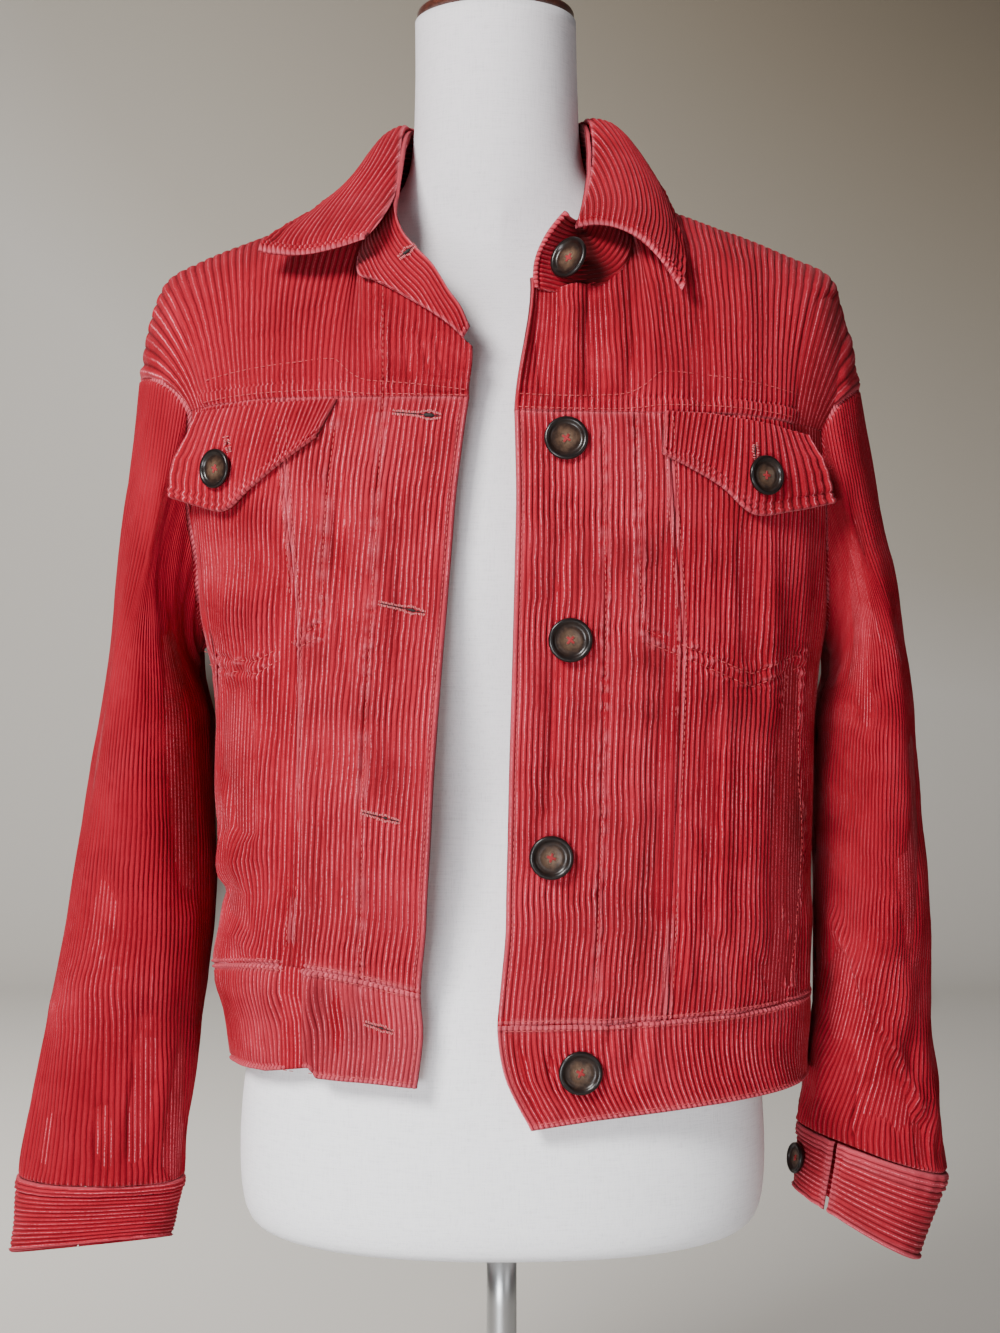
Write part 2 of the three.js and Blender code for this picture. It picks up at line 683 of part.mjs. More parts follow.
// Closed wall from an outer and an inner grid of points; the grids may close on themselves across
function wall(outer, inner, closed) {
  const high = outer.length;
  const wide = outer[0].length;
  const positions = [];
  const index = [];
  for (const grid of [outer, inner]) {
    for (const line of grid) for (const p of line) positions.push(p.x, p.y, p.z);
  }
  const id = (layer, i, j) => layer * high * wide + i * wide + (j % wide);
  const quad = (a, b, c, d) => index.push(a, b, c, a, c, d);
  const across = closed ? wide : wide - 1;
  for (let i = 0; i < high - 1; i += 1) {
    for (let j = 0; j < across; j += 1) {
      quad(id(0, i, j), id(0, i, j + 1), id(0, i + 1, j + 1), id(0, i + 1, j));
      quad(id(1, i, j), id(1, i + 1, j), id(1, i + 1, j + 1), id(1, i, j + 1));
    }
  }
  for (let j = 0; j < across; j += 1) {
    quad(id(0, 0, j), id(1, 0, j), id(1, 0, j + 1), id(0, 0, j + 1));
    quad(id(0, high - 1, j), id(0, high - 1, j + 1), id(1, high - 1, j + 1), id(1, high - 1, j));
  }
  if (!closed) {
    for (let i = 0; i < high - 1; i += 1) {
      quad(id(0, i, 0), id(0, i + 1, 0), id(1, i + 1, 0), id(1, i, 0));
      quad(id(0, i, wide - 1), id(1, i, wide - 1), id(1, i + 1, wide - 1), id(0, i + 1, wide - 1));
    }
  }
  return facingOut(solid(positions, index));
}

function solid(positions, index) {
  const geometry = new THREE.BufferGeometry();
  geometry.setAttribute("position", new THREE.Float32BufferAttribute(positions, 3));
  geometry.setIndex(index);
  return geometry;
}

// Turns the faces of a closed mesh outward, so that its volume is positive
function facingOut(geometry) {
  const place = geometry.attributes.position;
  const index = Array.from(geometry.index.array);
  const corner = [point(0, 0, 0), point(0, 0, 0), point(0, 0, 0)];
  let volume = 0;
  for (let i = 0; i < index.length; i += 3) {
    corner.forEach((p, k) => p.fromBufferAttribute(place, index[i + k]));
    volume += corner[0].dot(corner[1].clone().cross(corner[2]));
  }
  if (volume < 0) {
    for (let i = 0; i < index.length; i += 3) [index[i + 1], index[i + 2]] = [index[i + 2], index[i + 1]];
    geometry.setIndex(index);
  }
  return geometry;
}

const shares = (count) => Array.from({ length: count + 1 }, (unused, i) => i / count);

// Panel of the body between two shares round it and two height lines
function bodyPanel(side, qs, low, high, steps, thickness) {
  const grid = (out) =>
    shares(steps).map((v) =>
      qs.map((q) => {
        const length = high(q) - low(q);
        const gap = SEAM_GAP / 2 / length;
        return bodyPoint(side, q, blend(low(q), high(q), blend(gap, 1 - gap, v)), out);
      }),
    );
  return wall(grid(0), grid(-thickness), false);
}

// Shares round the body whose points lie evenly between two shares, kept a seam's gap from both
function between(side, from, to, count, z, insetFrom = 1, insetTo = 1) {
  const gap = SEAM_GAP / 2 / ring(side, z).lengths.at(-1);
  return shares(count).map((w) => blend(from + gap * insetFrom, to - gap * insetTo, w));
}

// Share round the body that is seen at a given X on the picture plane
function shareSeenAt(side, seenX, z) {
  let low = 0;
  let high = 0.5;
  const wanted = Math.abs(seenX);
  for (let i = 0; i < 30; i += 1) {
    const middle = (low + high) / 2;
    const p = plainBody(side, middle, z);
    const seen = Math.abs((p.x * VIEW_DISTANCE) / (VIEW_DISTANCE + p.y));
    if (seen < wanted) low = middle;
    else high = middle;
  }
  return low;
}

const FRONT_COLUMNS = 8;
const SIDE_COLUMNS = 11;
const PANEL_ROWS = 16;

function frontCentre(side) {
  const low = (q) => at(WAIST, side, q);
  const high = (q) => panelTop(side, q);
  return seamPanel(side, low, high, (z) => 0, (z) => panelSeam(side, z), FRONT_COLUMNS, PANEL_ROWS);
}

function panelSeam(side, z) {
  return shareSeenAt(side, at(PANEL_SEAM, side, z), z);
}

// Panel whose two long edges are shares that change with height
function seamPanel(side, low, high, from, to, columns, count, warp = (w) => w) {
  const grid = (out) =>
    shares(count).map((v) =>
      shares(columns).map((w) => {
        let q = blend(from(600), to(600), warp(w));
        let z = 600;
        for (let i = 0; i < 4; i += 1) {
          const bottom = low(q);
          const top = high(q);
          const gap = SEAM_GAP / 2 / (top - bottom);
          z = blend(bottom, top, blend(gap, 1 - gap, v));
          const inset = SEAM_GAP / 2 / ring(side, z).lengths.at(-1);
          q = blend(from(z) + inset, to(z) - inset, warp(w));
        }
        return bodyPoint(side, q, z, out);
      }),
    );
  return wall(grid(0), grid(-CLOTH), false);
}

function frontSide(side) {
  const low = (q) => at(WAIST, side, q);
  const high = (q) => panelTop(side, q);
  return seamPanel(side, low, high, (z) => panelSeam(side, z), () => armholes[side].foot, SIDE_COLUMNS, PANEL_ROWS);
}

function backPanel() {
  const half = (side) => {
    const qs = between(side, armholes[side].foot, 1, 12, 600, 1, 0);
    const grid = (out) =>
      shares(12).map((v) =>
        qs.map((q) => {
          const low = at(WAIST, side, q) + SEAM_GAP / 2;
          const high = panelTop(side, q) - SEAM_GAP / 2;
          return bodyPoint(side, q, blend(low, high, v), out);
        }),
      );
    return [grid(0), grid(-CLOTH)];
  };
  return joined(half("right"), half("left"));
}

// One wall from a right and a left half that share their last column, the middle of the back
function joined(right, left) {
  const join = (a, b) => a.map((line, i) => [...line, ...b[i].slice(0, -1).reverse()]);
  return wall(join(right[0], left[0]), join(right[1], left[1]), false);
}

function waistband() {
  const half = (side) => {
    const qs = shares(22);
    const grid = (out) =>
      shares(2).map((v) =>
        qs.map((q) => {
          const low = at(HEM, side, q);
          const high = at(WAIST, side, q) - SEAM_GAP;
          return bodyPoint(side, q, blend(low, high, v), out);
        }),
      );
    return [grid(DOUBLE_CLOTH - CLOTH), grid(-CLOTH)];
  };
  return joined(half("right"), half("left"));
}

const YOKE_SHARES = [0, 0.06, 0.12, 0.18, 0.24, 0.29, 0.33, 0.37, 0.4, 0.43, 0.5, 0.58, 0.66, 0.74, 0.8, 0.85, 0.89, 0.93, 0.965, 0.994];

function yokeGrid(side, face, out, count) {
  const mitre = out < 0 ? YOKE_MITRE : 0;
  return shares(count).map((v) =>
    YOKE_SHARES.map((u) => {
      const low = yokeAt(side, face, u, 0);
      const length = low.distanceTo(yokeAt(side, face, u, 1)) * 1.1;
      const foot = (SEAM_GAP * 1.5 + mitre) / length;
      const head = (SEAM_GAP + (out < 0 ? SHOULDER_MITRE : 1.1)) / length;
      return yokePoint(side, face, u, blend(foot, 1 - head, v), out);
    }),
  );
}

function frontYoke(side) {
  return wall(yokeGrid(side, "front", 0, 8), yokeGrid(side, "front", -CLOTH, 8), false);
}

function backYoke() {
  const half = (side) => [0, -CLOTH].map((out) => yokeGrid(side, "back", out, 8).map((line) => line.reverse()));
  return joined(half("right"), half("left"));
}

function sleeve(side) {
  const points = armhole(side);
  const around = 22;
  const vs = [0, 0.06, 0.13, 0.21, 0.29, 0.38, 0.47, 0.56, 0.64, 0.7, 0.76, 0.82, 0.88, 0.94, 1];
  const grid = (depth) =>
    vs.map((v) =>
      shares(around)
        .slice(0, -1)
        .map((share) => {
          const p = sleeveAt(side, share, v, points);
          const ahead = sleeveAt(side, share + 0.01, v, points);
          const behind = sleeveAt(side, share - 0.01, v, points);
          const down = sleeveAt(side, share, Math.min(v + 0.01, 1), points);
          const up = sleeveAt(side, share, Math.max(v - 0.01, 0), points);
          const normal = ahead.sub(behind).cross(down.sub(up)).normalize();
          const middle = point(0, 0, 0);
          for (const k of [0, 0.25, 0.5, 0.75]) middle.add(sleeveAt(side, k, v, points));
          middle.divideScalar(4);
          towards(normal, p, middle);
          return p.addScaledVector(normal, sleeveFold(side, share, v) - depth);
        }),
    );
  return wall(grid(0), grid(CLOTH), true);
}

function cuffPoint(side, share, drop, out) {
  const { top, foot } = CUFFS[side];
  return ringPoint(side, top, share, out).lerp(ringPoint(side, foot, share, out), drop);
}

function cuff(side) {
  const [from, to] = CUFFS[side].open;
  const span = 1 - (to - from);
  const thick = DOUBLE_CLOTH;
  const grid = (out) => shares(2).map((drop) => shares(26).map((w) => cuffPoint(side, to + span * w, drop, out)));
  return wall(grid(0.4), grid(0.4 - thick), false);
}

function collarStand() {
  const count = STAND.length - 1;
  const places = shares(2 * count).map((w) => w * count);
  const surface = (s, w) =>
    point(
      blend(at(STAND, "x", s), at(STAND, "topX", s), w),
      blend(at(STAND, "y", s), at(STAND, "topY", s), w),
      blend(at(STAND, "z", s), at(STAND, "topZ", s), w),
    );
  const grid = (out) =>
    shares(3).map((w) =>
      places.map((s) => {
        const across = surface(Math.min(s + 0.3, count), w).sub(surface(Math.max(s - 0.3, 0), w));
        const up = surface(s, 1).sub(surface(s, 0));
        const normal = across.cross(up).normalize();
        const p = surface(s, w);
        return p.addScaledVector(normal, out);
      }),
    );
  return wall(grid(CLOTH / 2), grid(-CLOTH / 2), false);
}

function collarLeaf() {
  const count = LEAF.length - 1;
  const places = shares(3 * count).map((w) => w * count);
  const surface = (s, w) => {
    const p = point(
      blend(at(LEAF, "x", s), at(LEAF, "edgeX", s), w),
      blend(at(LEAF, "y", s), at(LEAF, "edgeY", s), w),
      blend(at(LEAF, "z", s), at(LEAF, "edgeZ", s), w),
    );
    const full = at(LEAF, "full", s) * 4 * w * (1 - w) * (1 + 0.6 * (1 - w));
    const away = point(p.x, p.y * 0.6, 0).normalize();
    return p.addScaledVector(away, full * 0.6).add(point(0, 0, full * 0.8));
  };
  const grid = (out) =>
    shares(5).map((w) =>
      places.map((s) => {
        const across = surface(Math.min(s + 0.2, count), w).sub(surface(Math.max(s - 0.2, 0), w));
        const up = surface(s, Math.min(w + 0.05, 1)).sub(surface(s, Math.max(w - 0.05, 0)));
        const normal = up.cross(across).normalize();
        const p = surface(s, w);
        return p.addScaledVector(normal, out);
      }),
    );
  return wall(grid(DOUBLE_CLOTH / 2), grid(-DOUBLE_CLOTH / 2), false);
}

// Depth of the front at X and Z; past the turn of the side it runs on straight
function frontDepth(side, x, z) {
  const share = Math.abs(x) / at(BODY, side, z);
  const front = at(BODY, "front", z);
  const depth = (s) => -front * (1 - s ** FRONT_POWER) ** (1 / FRONT_POWER);
  if (share <= FLAP_STRAIGHT) return depth(share);
  const slope = (depth(FLAP_STRAIGHT) - depth(FLAP_STRAIGHT - 0.01)) / 0.01;
  return depth(FLAP_STRAIGHT) + slope * (share - FLAP_STRAIGHT);
}

// Point of the front seen at a place on the picture plane, with its normal
function seenPoint(px, py) {
  const side = px > VIEW_MIDDLE[0] ? "left" : "right";
  const p = point(0, -110, 0);
  for (let i = 0; i < 20; i += 1) {
    const scale = ((VIEW_DISTANCE + p.y) * VIEW_SCALE) / VIEW_DISTANCE;
    p.x = (px - VIEW_MIDDLE[0]) * scale;
    p.z = VIEW_HEIGHT + (VIEW_MIDDLE[1] - py) * scale;
    p.y = frontDepth(side, p.x, p.z);
  }
  const slopeX = (frontDepth(side, p.x + 2, p.z) - frontDepth(side, p.x - 2, p.z)) / 4;
  const slopeZ = (frontDepth(side, p.x, p.z + 2) - frontDepth(side, p.x, p.z - 2)) / 4;
  const normal = point(slopeX, -1, slopeZ).normalize();
  p.addScaledVector(normal, foldHeight(p));
  return { p, normal };
}

function flap(table) {
  const grid = (out) =>
    shares(5).map((w) =>
      shares(9).map((v) => {
        const bow = at(table, "bow", w) * 4 * v * (1 - v);
        const px = blend(at(table, "x", w), at(table, "footX", w), v) + bow;
        const py = blend(at(table, "y", w), at(table, "footY", w), v);
        const { p, normal } = seenPoint(px, py);
        return p.addScaledVector(normal, out + 1.5 * v * v + FLAP_STAND_OFF * w ** 4);
      }),
    );
  return wall(grid(LAY_GAP + DOUBLE_CLOTH), grid(LAY_GAP), false);
}

// Button: a disc with a raised rim and four thread holes, its face along Z
async function buttonShape(radius) {
  const h = BUTTON_HEIGHT;
  const profile = [
    [0, 0],
    [radius * 0.72, 0],
    [radius, h * 0.55],
    [radius * 0.93, h],
    [radius * 0.83, h * 0.95],
    [radius * 0.7, h * 0.6],
    [0, h * 0.55],
  ].map(([x, y]) => new THREE.Vector2(x, y));
  const disc = new THREE.LatheGeometry(profile, 16);
  disc.rotateX(Math.PI / 2);
  const kernel = await Module();
  kernel.setup();
  const asManifold = (geometry) => {
    const vertices = [];
    const names = new Map();
    const triangles = [];
    const place = geometry.attributes.position;
    for (const i of geometry.index.array) {
      const key = [place.getX(i), place.getY(i), place.getZ(i)].map((c) => c.toFixed(4) * 1);
      const name = key.join();
      if (!names.has(name)) {
        names.set(name, names.size);
        vertices.push(...key);
      }
      triangles.push(names.get(name));
    }
    const kept = [];
    for (let i = 0; i < triangles.length; i += 3) {
      const [a, b, c] = triangles.slice(i, i + 3);
      if (a !== b && b !== c && c !== a) kept.push(a, b, c);
    }
    const numbers = new Float32Array(vertices);
    const made = facingOut(solid(Array.from(numbers), kept));
    const mesh = new kernel.Mesh({
      numProp: 3,
      vertProperties: numbers,
      triVerts: new Uint32Array(made.index.array),
    });
    return new kernel.Manifold(mesh);
  };
  let body = asManifold(disc);
  for (const [x, y] of [[1, 1], [1, -1], [-1, 1], [-1, -1]]) {
    const hole = new THREE.CylinderGeometry(BUTTON_HOLE, BUTTON_HOLE, 3 * h, 4);
    hole.rotateX(Math.PI / 2);
    hole.translate(x * BUTTON_HOLE_PITCH, y * BUTTON_HOLE_PITCH, 0);
    body = body.subtract(asManifold(hole));
  }
  const mesh = body.getMesh();
  return solid(Array.from(mesh.vertProperties), Array.from(mesh.triVerts));
}

function setButton(shape, centre, faces) {
  const turned = shape.clone();
  const turn = new THREE.Quaternion().setFromUnitVectors(point(0, 0, 1), faces.clone().normalize());
  turned.applyQuaternion(turn);
  turned.translate(centre.x, centre.y, centre.z);
  return turned;
}

function formTorso() {
  const around = 30;
  const ringAt = (row) =>
    shares(around)
      .slice(0, -1)
      .map((w) => {
        const angle = w * 2 * Math.PI;
        const power = 2 / row.power;
        const c = Math.cos(angle);
        const s = Math.sin(angle);
        const x = Math.sign(c) * Math.abs(c) ** power * (c > 0 ? row.left : row.right);
        const y = Math.sign(s) * Math.abs(s) ** power * (s > 0 ? row.back : row.front);
        return point(x, y, row.z);
      });
  const rings = FORM.map(ringAt);
  const positions = [];
  for (const line of rings) for (const p of line) positions.push(p.x, p.y, p.z);
  const foot = positions.length / 3;
  positions.push(0, 0, FORM[0].z);
  positions.push(NECK_X, 0, NECK_TOP);
  const index = [];
  for (let i = 0; i < rings.length - 1; i += 1) {
    for (let j = 0; j < around; j += 1) {
      const a = i * around + j;
      const b = i * around + ((j + 1) % around);
      index.push(a, b, b + around, a, b + around, a + around);
    }
  }
  const top = (rings.length - 1) * around;
  for (let j = 0; j < around; j += 1) {
    index.push(foot, (j + 1) % around, j);
    index.push(foot + 1, top + j, top + ((j + 1) % around));
  }
  return facingOut(solid(positions, index));
}

function lathe(profile, segments, x, y) {
  const shape = new THREE.LatheGeometry(profile.map(([r, z]) => new THREE.Vector2(r, z)), segments);
  shape.rotateX(Math.PI / 2);
  shape.translate(x, y, 0);
  return shape;
}

function neckCap() {
  const z = NECK_TOP + LAY_GAP;
  const profile = [
    [0, z],
    [46, z],
    [47.5, z + 1.2],
    [48.6, z + 2.5],
    [48.6, z + 5],
    [46.5, z + 6.6],
    [40.5, z + 8],
    [39, z + 11],
    [38, z + 14],
    [34, z + 18.5],
    [26, z + 22],
    [14, z + 24.2],
    [0, z + 25],
  ];
  return lathe(profile, 24, NECK_X, 0);
}

function pole() {
  return lathe([[0, POLE.foot], [POLE.radius, POLE.foot], [POLE.radius, POLE.top], [0, POLE.top]], 24, POLE.x, POLE.y);
}

function base() {
  const profile = [
    [0, 0],
    [BASE_RADIUS - 1.5, 0],
    [BASE_RADIUS, 1.5],
    [BASE_RADIUS, BASE_HEIGHT - 5],
    [BASE_RADIUS - 3, BASE_HEIGHT - 2],
    [BASE_RADIUS - 8, BASE_HEIGHT],
    [0, BASE_HEIGHT],
  ];
  return lathe(profile, 40, 0, 0);
}

const group = new THREE.Group();

function add(name, geometry, colour, roughness, metalness) {
  const material = new THREE.MeshStandardMaterial({ color: colour, roughness, metalness });
  const mesh = new THREE.Mesh(geometry, material);
  mesh.name = name;
  group.add(mesh);
}

const addCloth = (name, geometry) => add(name, geometry, COLOURS.cloth, 0.9, 0);

for (const side of ["right", "left"]) {
  addCloth(`front_yoke_${side}`, frontYoke(side));
  addCloth(`front_centre_${side}`, frontCentre(side));
  addCloth(`front_side_${side}`, frontSide(side));
  addCloth(`sleeve_${side}`, sleeve(side));
  addCloth(`cuff_${side}`, cuff(side));
}
addCloth("back_yoke", backYoke());
addCloth("back_panel", backPanel());
addCloth("waistband", waistband());
addCloth("collar_stand", collarStand());
addCloth("collar_leaf", collarLeaf());
addCloth("flap_right", flap(FLAP_RIGHT));
addCloth("flap_left", flap(FLAP_LEFT));

const shapes = new Map();
for (const { radius } of [...BUTTONS, ...CUFF_BUTTONS]) {
  if (!shapes.has(radius)) shapes.set(radius, await buttonShape(radius));
}
for (const { name, at: place, radius, faces, centre, extra } of BUTTONS) {
  let middle;
  let way;
  if (centre) {
    middle = point(...centre);
    way = point(...faces);
  } else {
    const seen = seenPoint(...place);
    way = seen.normal;
    middle = seen.p.addScaledVector(way, (extra ?? 0) + 0.1);
  }
  add(name, setButton(shapes.get(radius), middle, way), COLOURS.horn, 0.35, 0);
}
for (const { name, side, share, drop, radius } of CUFF_BUTTONS) {
  const p = cuffPoint(side, share, drop, 0.4);
  const across = cuffPoint(side, share + 0.02, drop, 0.4).sub(cuffPoint(side, share - 0.02, drop, 0.4));
  const down = cuffPoint(side, share, 1, 0.4).sub(cuffPoint(side, share, 0, 0.4));
  const normal = across.cross(down).normalize();
  const { top } = CUFFS[side];
  towards(normal, p, point(top.x, top.y, p.z));
  p.addScaledVector(normal, 0.35);
  add(name, setButton(shapes.get(radius), p, normal), COLOURS.horn, 0.35, 0);
}

add("form_torso", formTorso(), COLOURS.canvas, 0.85, 0);
add("neck_cap", neckCap(), COLOURS.wood, 0.4, 0);
add("pole", pole(), COLOURS.metal, 0.35, 0.9);
add("base", base(), COLOURS.metal, 0.45, 0.8);

export default group;
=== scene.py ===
import math

import bpy
import numpy as np
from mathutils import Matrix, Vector
from mathutils.kdtree import KDTree


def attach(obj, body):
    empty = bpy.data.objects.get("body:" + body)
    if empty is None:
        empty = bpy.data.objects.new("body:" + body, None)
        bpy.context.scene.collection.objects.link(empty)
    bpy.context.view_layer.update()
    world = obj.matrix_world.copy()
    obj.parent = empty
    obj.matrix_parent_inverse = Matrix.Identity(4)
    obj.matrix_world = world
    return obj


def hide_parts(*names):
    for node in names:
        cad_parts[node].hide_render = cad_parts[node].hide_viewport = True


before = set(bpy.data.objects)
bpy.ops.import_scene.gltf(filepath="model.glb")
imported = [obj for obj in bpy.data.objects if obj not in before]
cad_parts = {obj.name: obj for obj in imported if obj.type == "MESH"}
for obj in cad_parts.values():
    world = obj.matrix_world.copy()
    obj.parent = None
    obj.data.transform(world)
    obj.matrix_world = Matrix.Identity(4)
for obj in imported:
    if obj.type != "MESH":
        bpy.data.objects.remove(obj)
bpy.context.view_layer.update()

# Lengths are in millimetres until a mesh is made, which turns them into metres.
# X runs to the viewer's right, Y away from the viewer and Z up from the underside of the base.
MM = 0.001
VIEW_DISTANCE = 1250.0
VIEW_HEIGHT = 635.0
VIEW_SCALE = 0.62
MIDDLE_X, MIDDLE_Y = 500.0, 666.5

# Corduroy: distance between ribs, their height, and the places across one rib where it is sampled
PITCH = 3.25
RIB = 1.0
ACROSS = np.array([0.0, 0.12, 0.3, 0.5, 0.7, 0.88])
ACROSS_FEWER = np.array([0.0, 0.16, 0.38, 0.62, 0.84])
ALONG = 5.2
SHORT_MARKS = (0.0, 0.6, 1.3, 2.0, 2.8, 4.5)
LONG_MARKS = (0.0, 0.5, 1.1, 1.8, 2.5, 3.3, 5.0, 7.0, 8.3, 9.0, 9.8, 11.5)
CLOTH = 1.5
FOLD_DEPTH = 1.4

# How deep the outer face starts under the top of the ribs, on most cloth and on the flaps
SINK = RIB * 0.75
FLAP_SINK = RIB * 0.6

# Folds and stitches read from the photo are only for points nearer to the viewer than this
NEAR_SIDE_Y = -5
SIDES = ("right", "left")

FRONT_POWER = 2.5
BACK_POWER = 2.35


class Table:
    """Smooth curves through rows; the first column is the place along them."""

    def __init__(self, names, rows):
        data = np.array(rows, dtype=float)
        data = data[np.argsort(data[:, 0])]
        self.key = data[:, 0]
        self.columns = {name: data[:, i] for i, name in enumerate(names)}

    def __call__(self, name, t):
        key, value = self.key, self.columns[name]
        t = np.clip(t, key[0], key[-1])
        slope = np.empty_like(value)
        slope[1:-1] = (value[2:] - value[:-2]) / (key[2:] - key[:-2])
        slope[0] = (value[1] - value[0]) / (key[1] - key[0])
        slope[-1] = (value[-1] - value[-2]) / (key[-1] - key[-2])
        i = np.clip(np.searchsorted(key, t, side="right") - 1, 0, len(key) - 2)
        span = key[i + 1] - key[i]
        w = (t - key[i]) / span
        return hermite(value[i], slope[i] * span, value[i + 1], slope[i + 1] * span, w)


def hermite(a, slope_a, b, slope_b, w):
    w2, w3 = w * w, w * w * w
    from_a = a * (2 * w3 - 3 * w2 + 1) + slope_a * (w3 - 2 * w2 + w)
    return from_a + b * (3 * w2 - 2 * w3) + slope_b * (w3 - w2)


def mix(a, b, w):
    return a + (b - a) * w


BODY = Table(
    ["z", "right", "left", "front", "back", "edgeRight", "edgeLeft"],
    [
        [360, 161, 188, 110, 108, -49, 20],
        [372, 161, 188.5, 110.5, 108, -49, 17.5],
        [386, 161.5, 189, 111, 107, -48.5, 10],
        [403, 165, 189, 111.5, 106, -46, 2.5],
        [427, 169, 190, 112, 106, -43.5, -1.5],
        [450, 176, 190, 113, 105, -45, 0],
        [483, 171, 191, 114, 102, -42, 3],
        [504, 167.5, 190, 115, 100, -41, 3.4],
        [536, 172, 191, 116.5, 100, -39, 4.2],
        [574, 174.5, 192, 118, 102, -37, 5],
        [634, 175.5, 195, 120.5, 108, -32.5, 6.7],
        [664, 183, 199.5, 121.5, 111, -30, 7.5],
        [701, 188.5, 203, 121.5, 114, -27, 8.4],
        [732, 195.5, 205, 120, 116, -24.5, 9],
        [769, 198, 205, 116, 116, -20, 8.3],
        [792, 199, 204, 112, 115, -16.8, 8],
        [830, 199, 203, 105, 112, -14, 12],
    ],
)
HEM = Table(
    ["q", "right", "left"],
    [[0, 396, 372], [0.1, 398, 378], [0.3, 398, 385], [0.55, 392, 388], [1, 391, 391]],
)
WAIST = Table(
    ["q", "right", "left"],
    [[0, 450, 432], [0.12, 460, 433], [0.25, 463, 435], [0.55, 447, 441], [1, 444, 444]],
)
YOKE_SEAM = Table(
    ["q", "right", "left"],
    [[0, 787.5, 780], [0.1, 788, 779], [0.25, 789, 780], [0.38, 786, 775], [0.5, 783, 770], [1, 788, 786]],
)
ARMHOLE_FRONT_Y, ARMHOLE_FOOT_Y, ARMHOLE_BACK_Y = -54, 4, 56
ARMHOLE_SEAM_Z, ARMHOLE_FOOT_Z = 785, 652

YOKE_COLUMNS = ["u", "x", "y", "z", "back", "up"]
YOKE_TOP = {
    "right": Table(
        YOKE_COLUMNS,
        [
            [0, -15.5, -111.5, 816, 0.3, 0.95],
            [0.12, -37, -104.5, 837, 0.35, 0.93],
            [0.24, -60, -94.5, 853, 0.4, 0.9],
            [0.32, -78, -86.5, 862, 0.5, 0.85],
            [0.36, -82.5, -60, 881, 0.75, 0.6],
            [0.39, -81.5, -30, 904, 0.9, 0.35],
            [0.42, -77, 2, 923, 1, 0.05],
            [0.55, -113, 2, 912, 1, 0],
            [0.7, -150, 1, 898, 1, 0],
            [0.82, -186, 0, 884, 1, 0],
            [0.88, -206, -2, 872, 1, 0],
            [0.94, -217, -2, 846, 1, 0],
            [1, -223, 0, 812, 1, 0],
        ],
    ),
    "left": Table(
        YOKE_COLUMNS,
        [
            [0, 17.5, -102, 852, 0.4, 0.9],
            [0.12, 35, -99, 848, 0.35, 0.92],
            [0.24, 55, -93.5, 852, 0.4, 0.9],
            [0.32, 70, -85, 861, 0.5, 0.85],
            [0.36, 78.5, -60, 882, 0.75, 0.6],
            [0.39, 80.5, -30, 905, 0.9, 0.35],
            [0.42, 77, 2, 924, 1, 0.05],
            [0.55, 113, 2, 912.5, 1, 0],
            [0.7, 150, 1, 899, 1, 0],
            [0.82, 184, 0, 886, 1, 0],
            [0.88, 204, -2, 873, 1, 0],
            [0.94, 214, -2, 845, 1, 0],
            [1, 223, 0, 806, 1, 0],
        ],
    ),
}
BACK_TOP = Table(
    YOKE_COLUMNS,
    [
        [0, 0, 60, 911, -0.6, 0.8],
        [0.16, 34, 51, 914, -0.6, 0.75],
        [0.32, 62, 30, 920, -0.8, 0.4],
        [0.42, 77, 2, 923.5, -1, 0.05],
        [0.55, 113, 2, 912, -1, 0],
        [0.7, 150, 1, 898.5, -1, 0],
        [0.82, 185, 0, 885, -1, 0],
        [0.88, 205, -2, 872.5, -1, 0],
        [0.94, 215.5, -2, 845.5, -1, 0],
        [1, 223, 0, 809, -1, 0],
    ],
)
PANEL_SEAM = Table(
    ["z", "right", "left"],
    [
        [420, -131, 104],
        [450, -131, 105],
        [520, -129, 108],
        [600, -127, 112],
        [660, -127, 113],
        [740, -134, 107],
        [800, -137, 104],
    ],
)
SLEEVE_COLUMNS = ["z", "x", "y", "halfX", "halfY", "turn", "slope"]
SLEEVE = {
    "right": Table(
        SLEEVE_COLUMNS,
        [
            [600, -214, 10, 33, 68, 0, 0],
            [552, -217.5, 10, 38.5, 63, 0, 0],
            [483, -223.5, 8, 44.5, 56, 0, 0],
            [444, -228.5, 5, 46.5, 52, 0, 0],
            [414, -233.5, 2, 46.5, 47, 0, 0],
            [374, -238.7, -2, 48.5, 41, 0, 0],
            [345, -243.5, -4, 49.5, 36, 0, 0],
            [322, -246, -5, 51, 33, 0, -0.02],
        ],
    ),
    "left": Table(
        SLEEVE_COLUMNS,
        [
            [600, 227, 12, 28.5, 70, 0, 0],
            [552, 228.5, 13, 31, 66, 0, 0],
            [483, 231.5, 14, 34, 60, 0, 0],
            [444, 232.5, 14, 35, 57, 4, 0],
            [414, 232.5, 13, 37, 53, 8, -0.04],
            [384, 232, 10, 41, 47, 14, -0.12],
            [355, 230.5, 6, 43, 40, 20, -0.22],
            [338, 231, 3, 46, 35, 24, -0.3],
        ],
    ),
}
SLEEVE_ENDS = {"right": (600, 322), "left": (600, 338)}
SLEEVE_HEAD = 0.36
SLEEVE_RUN = 490
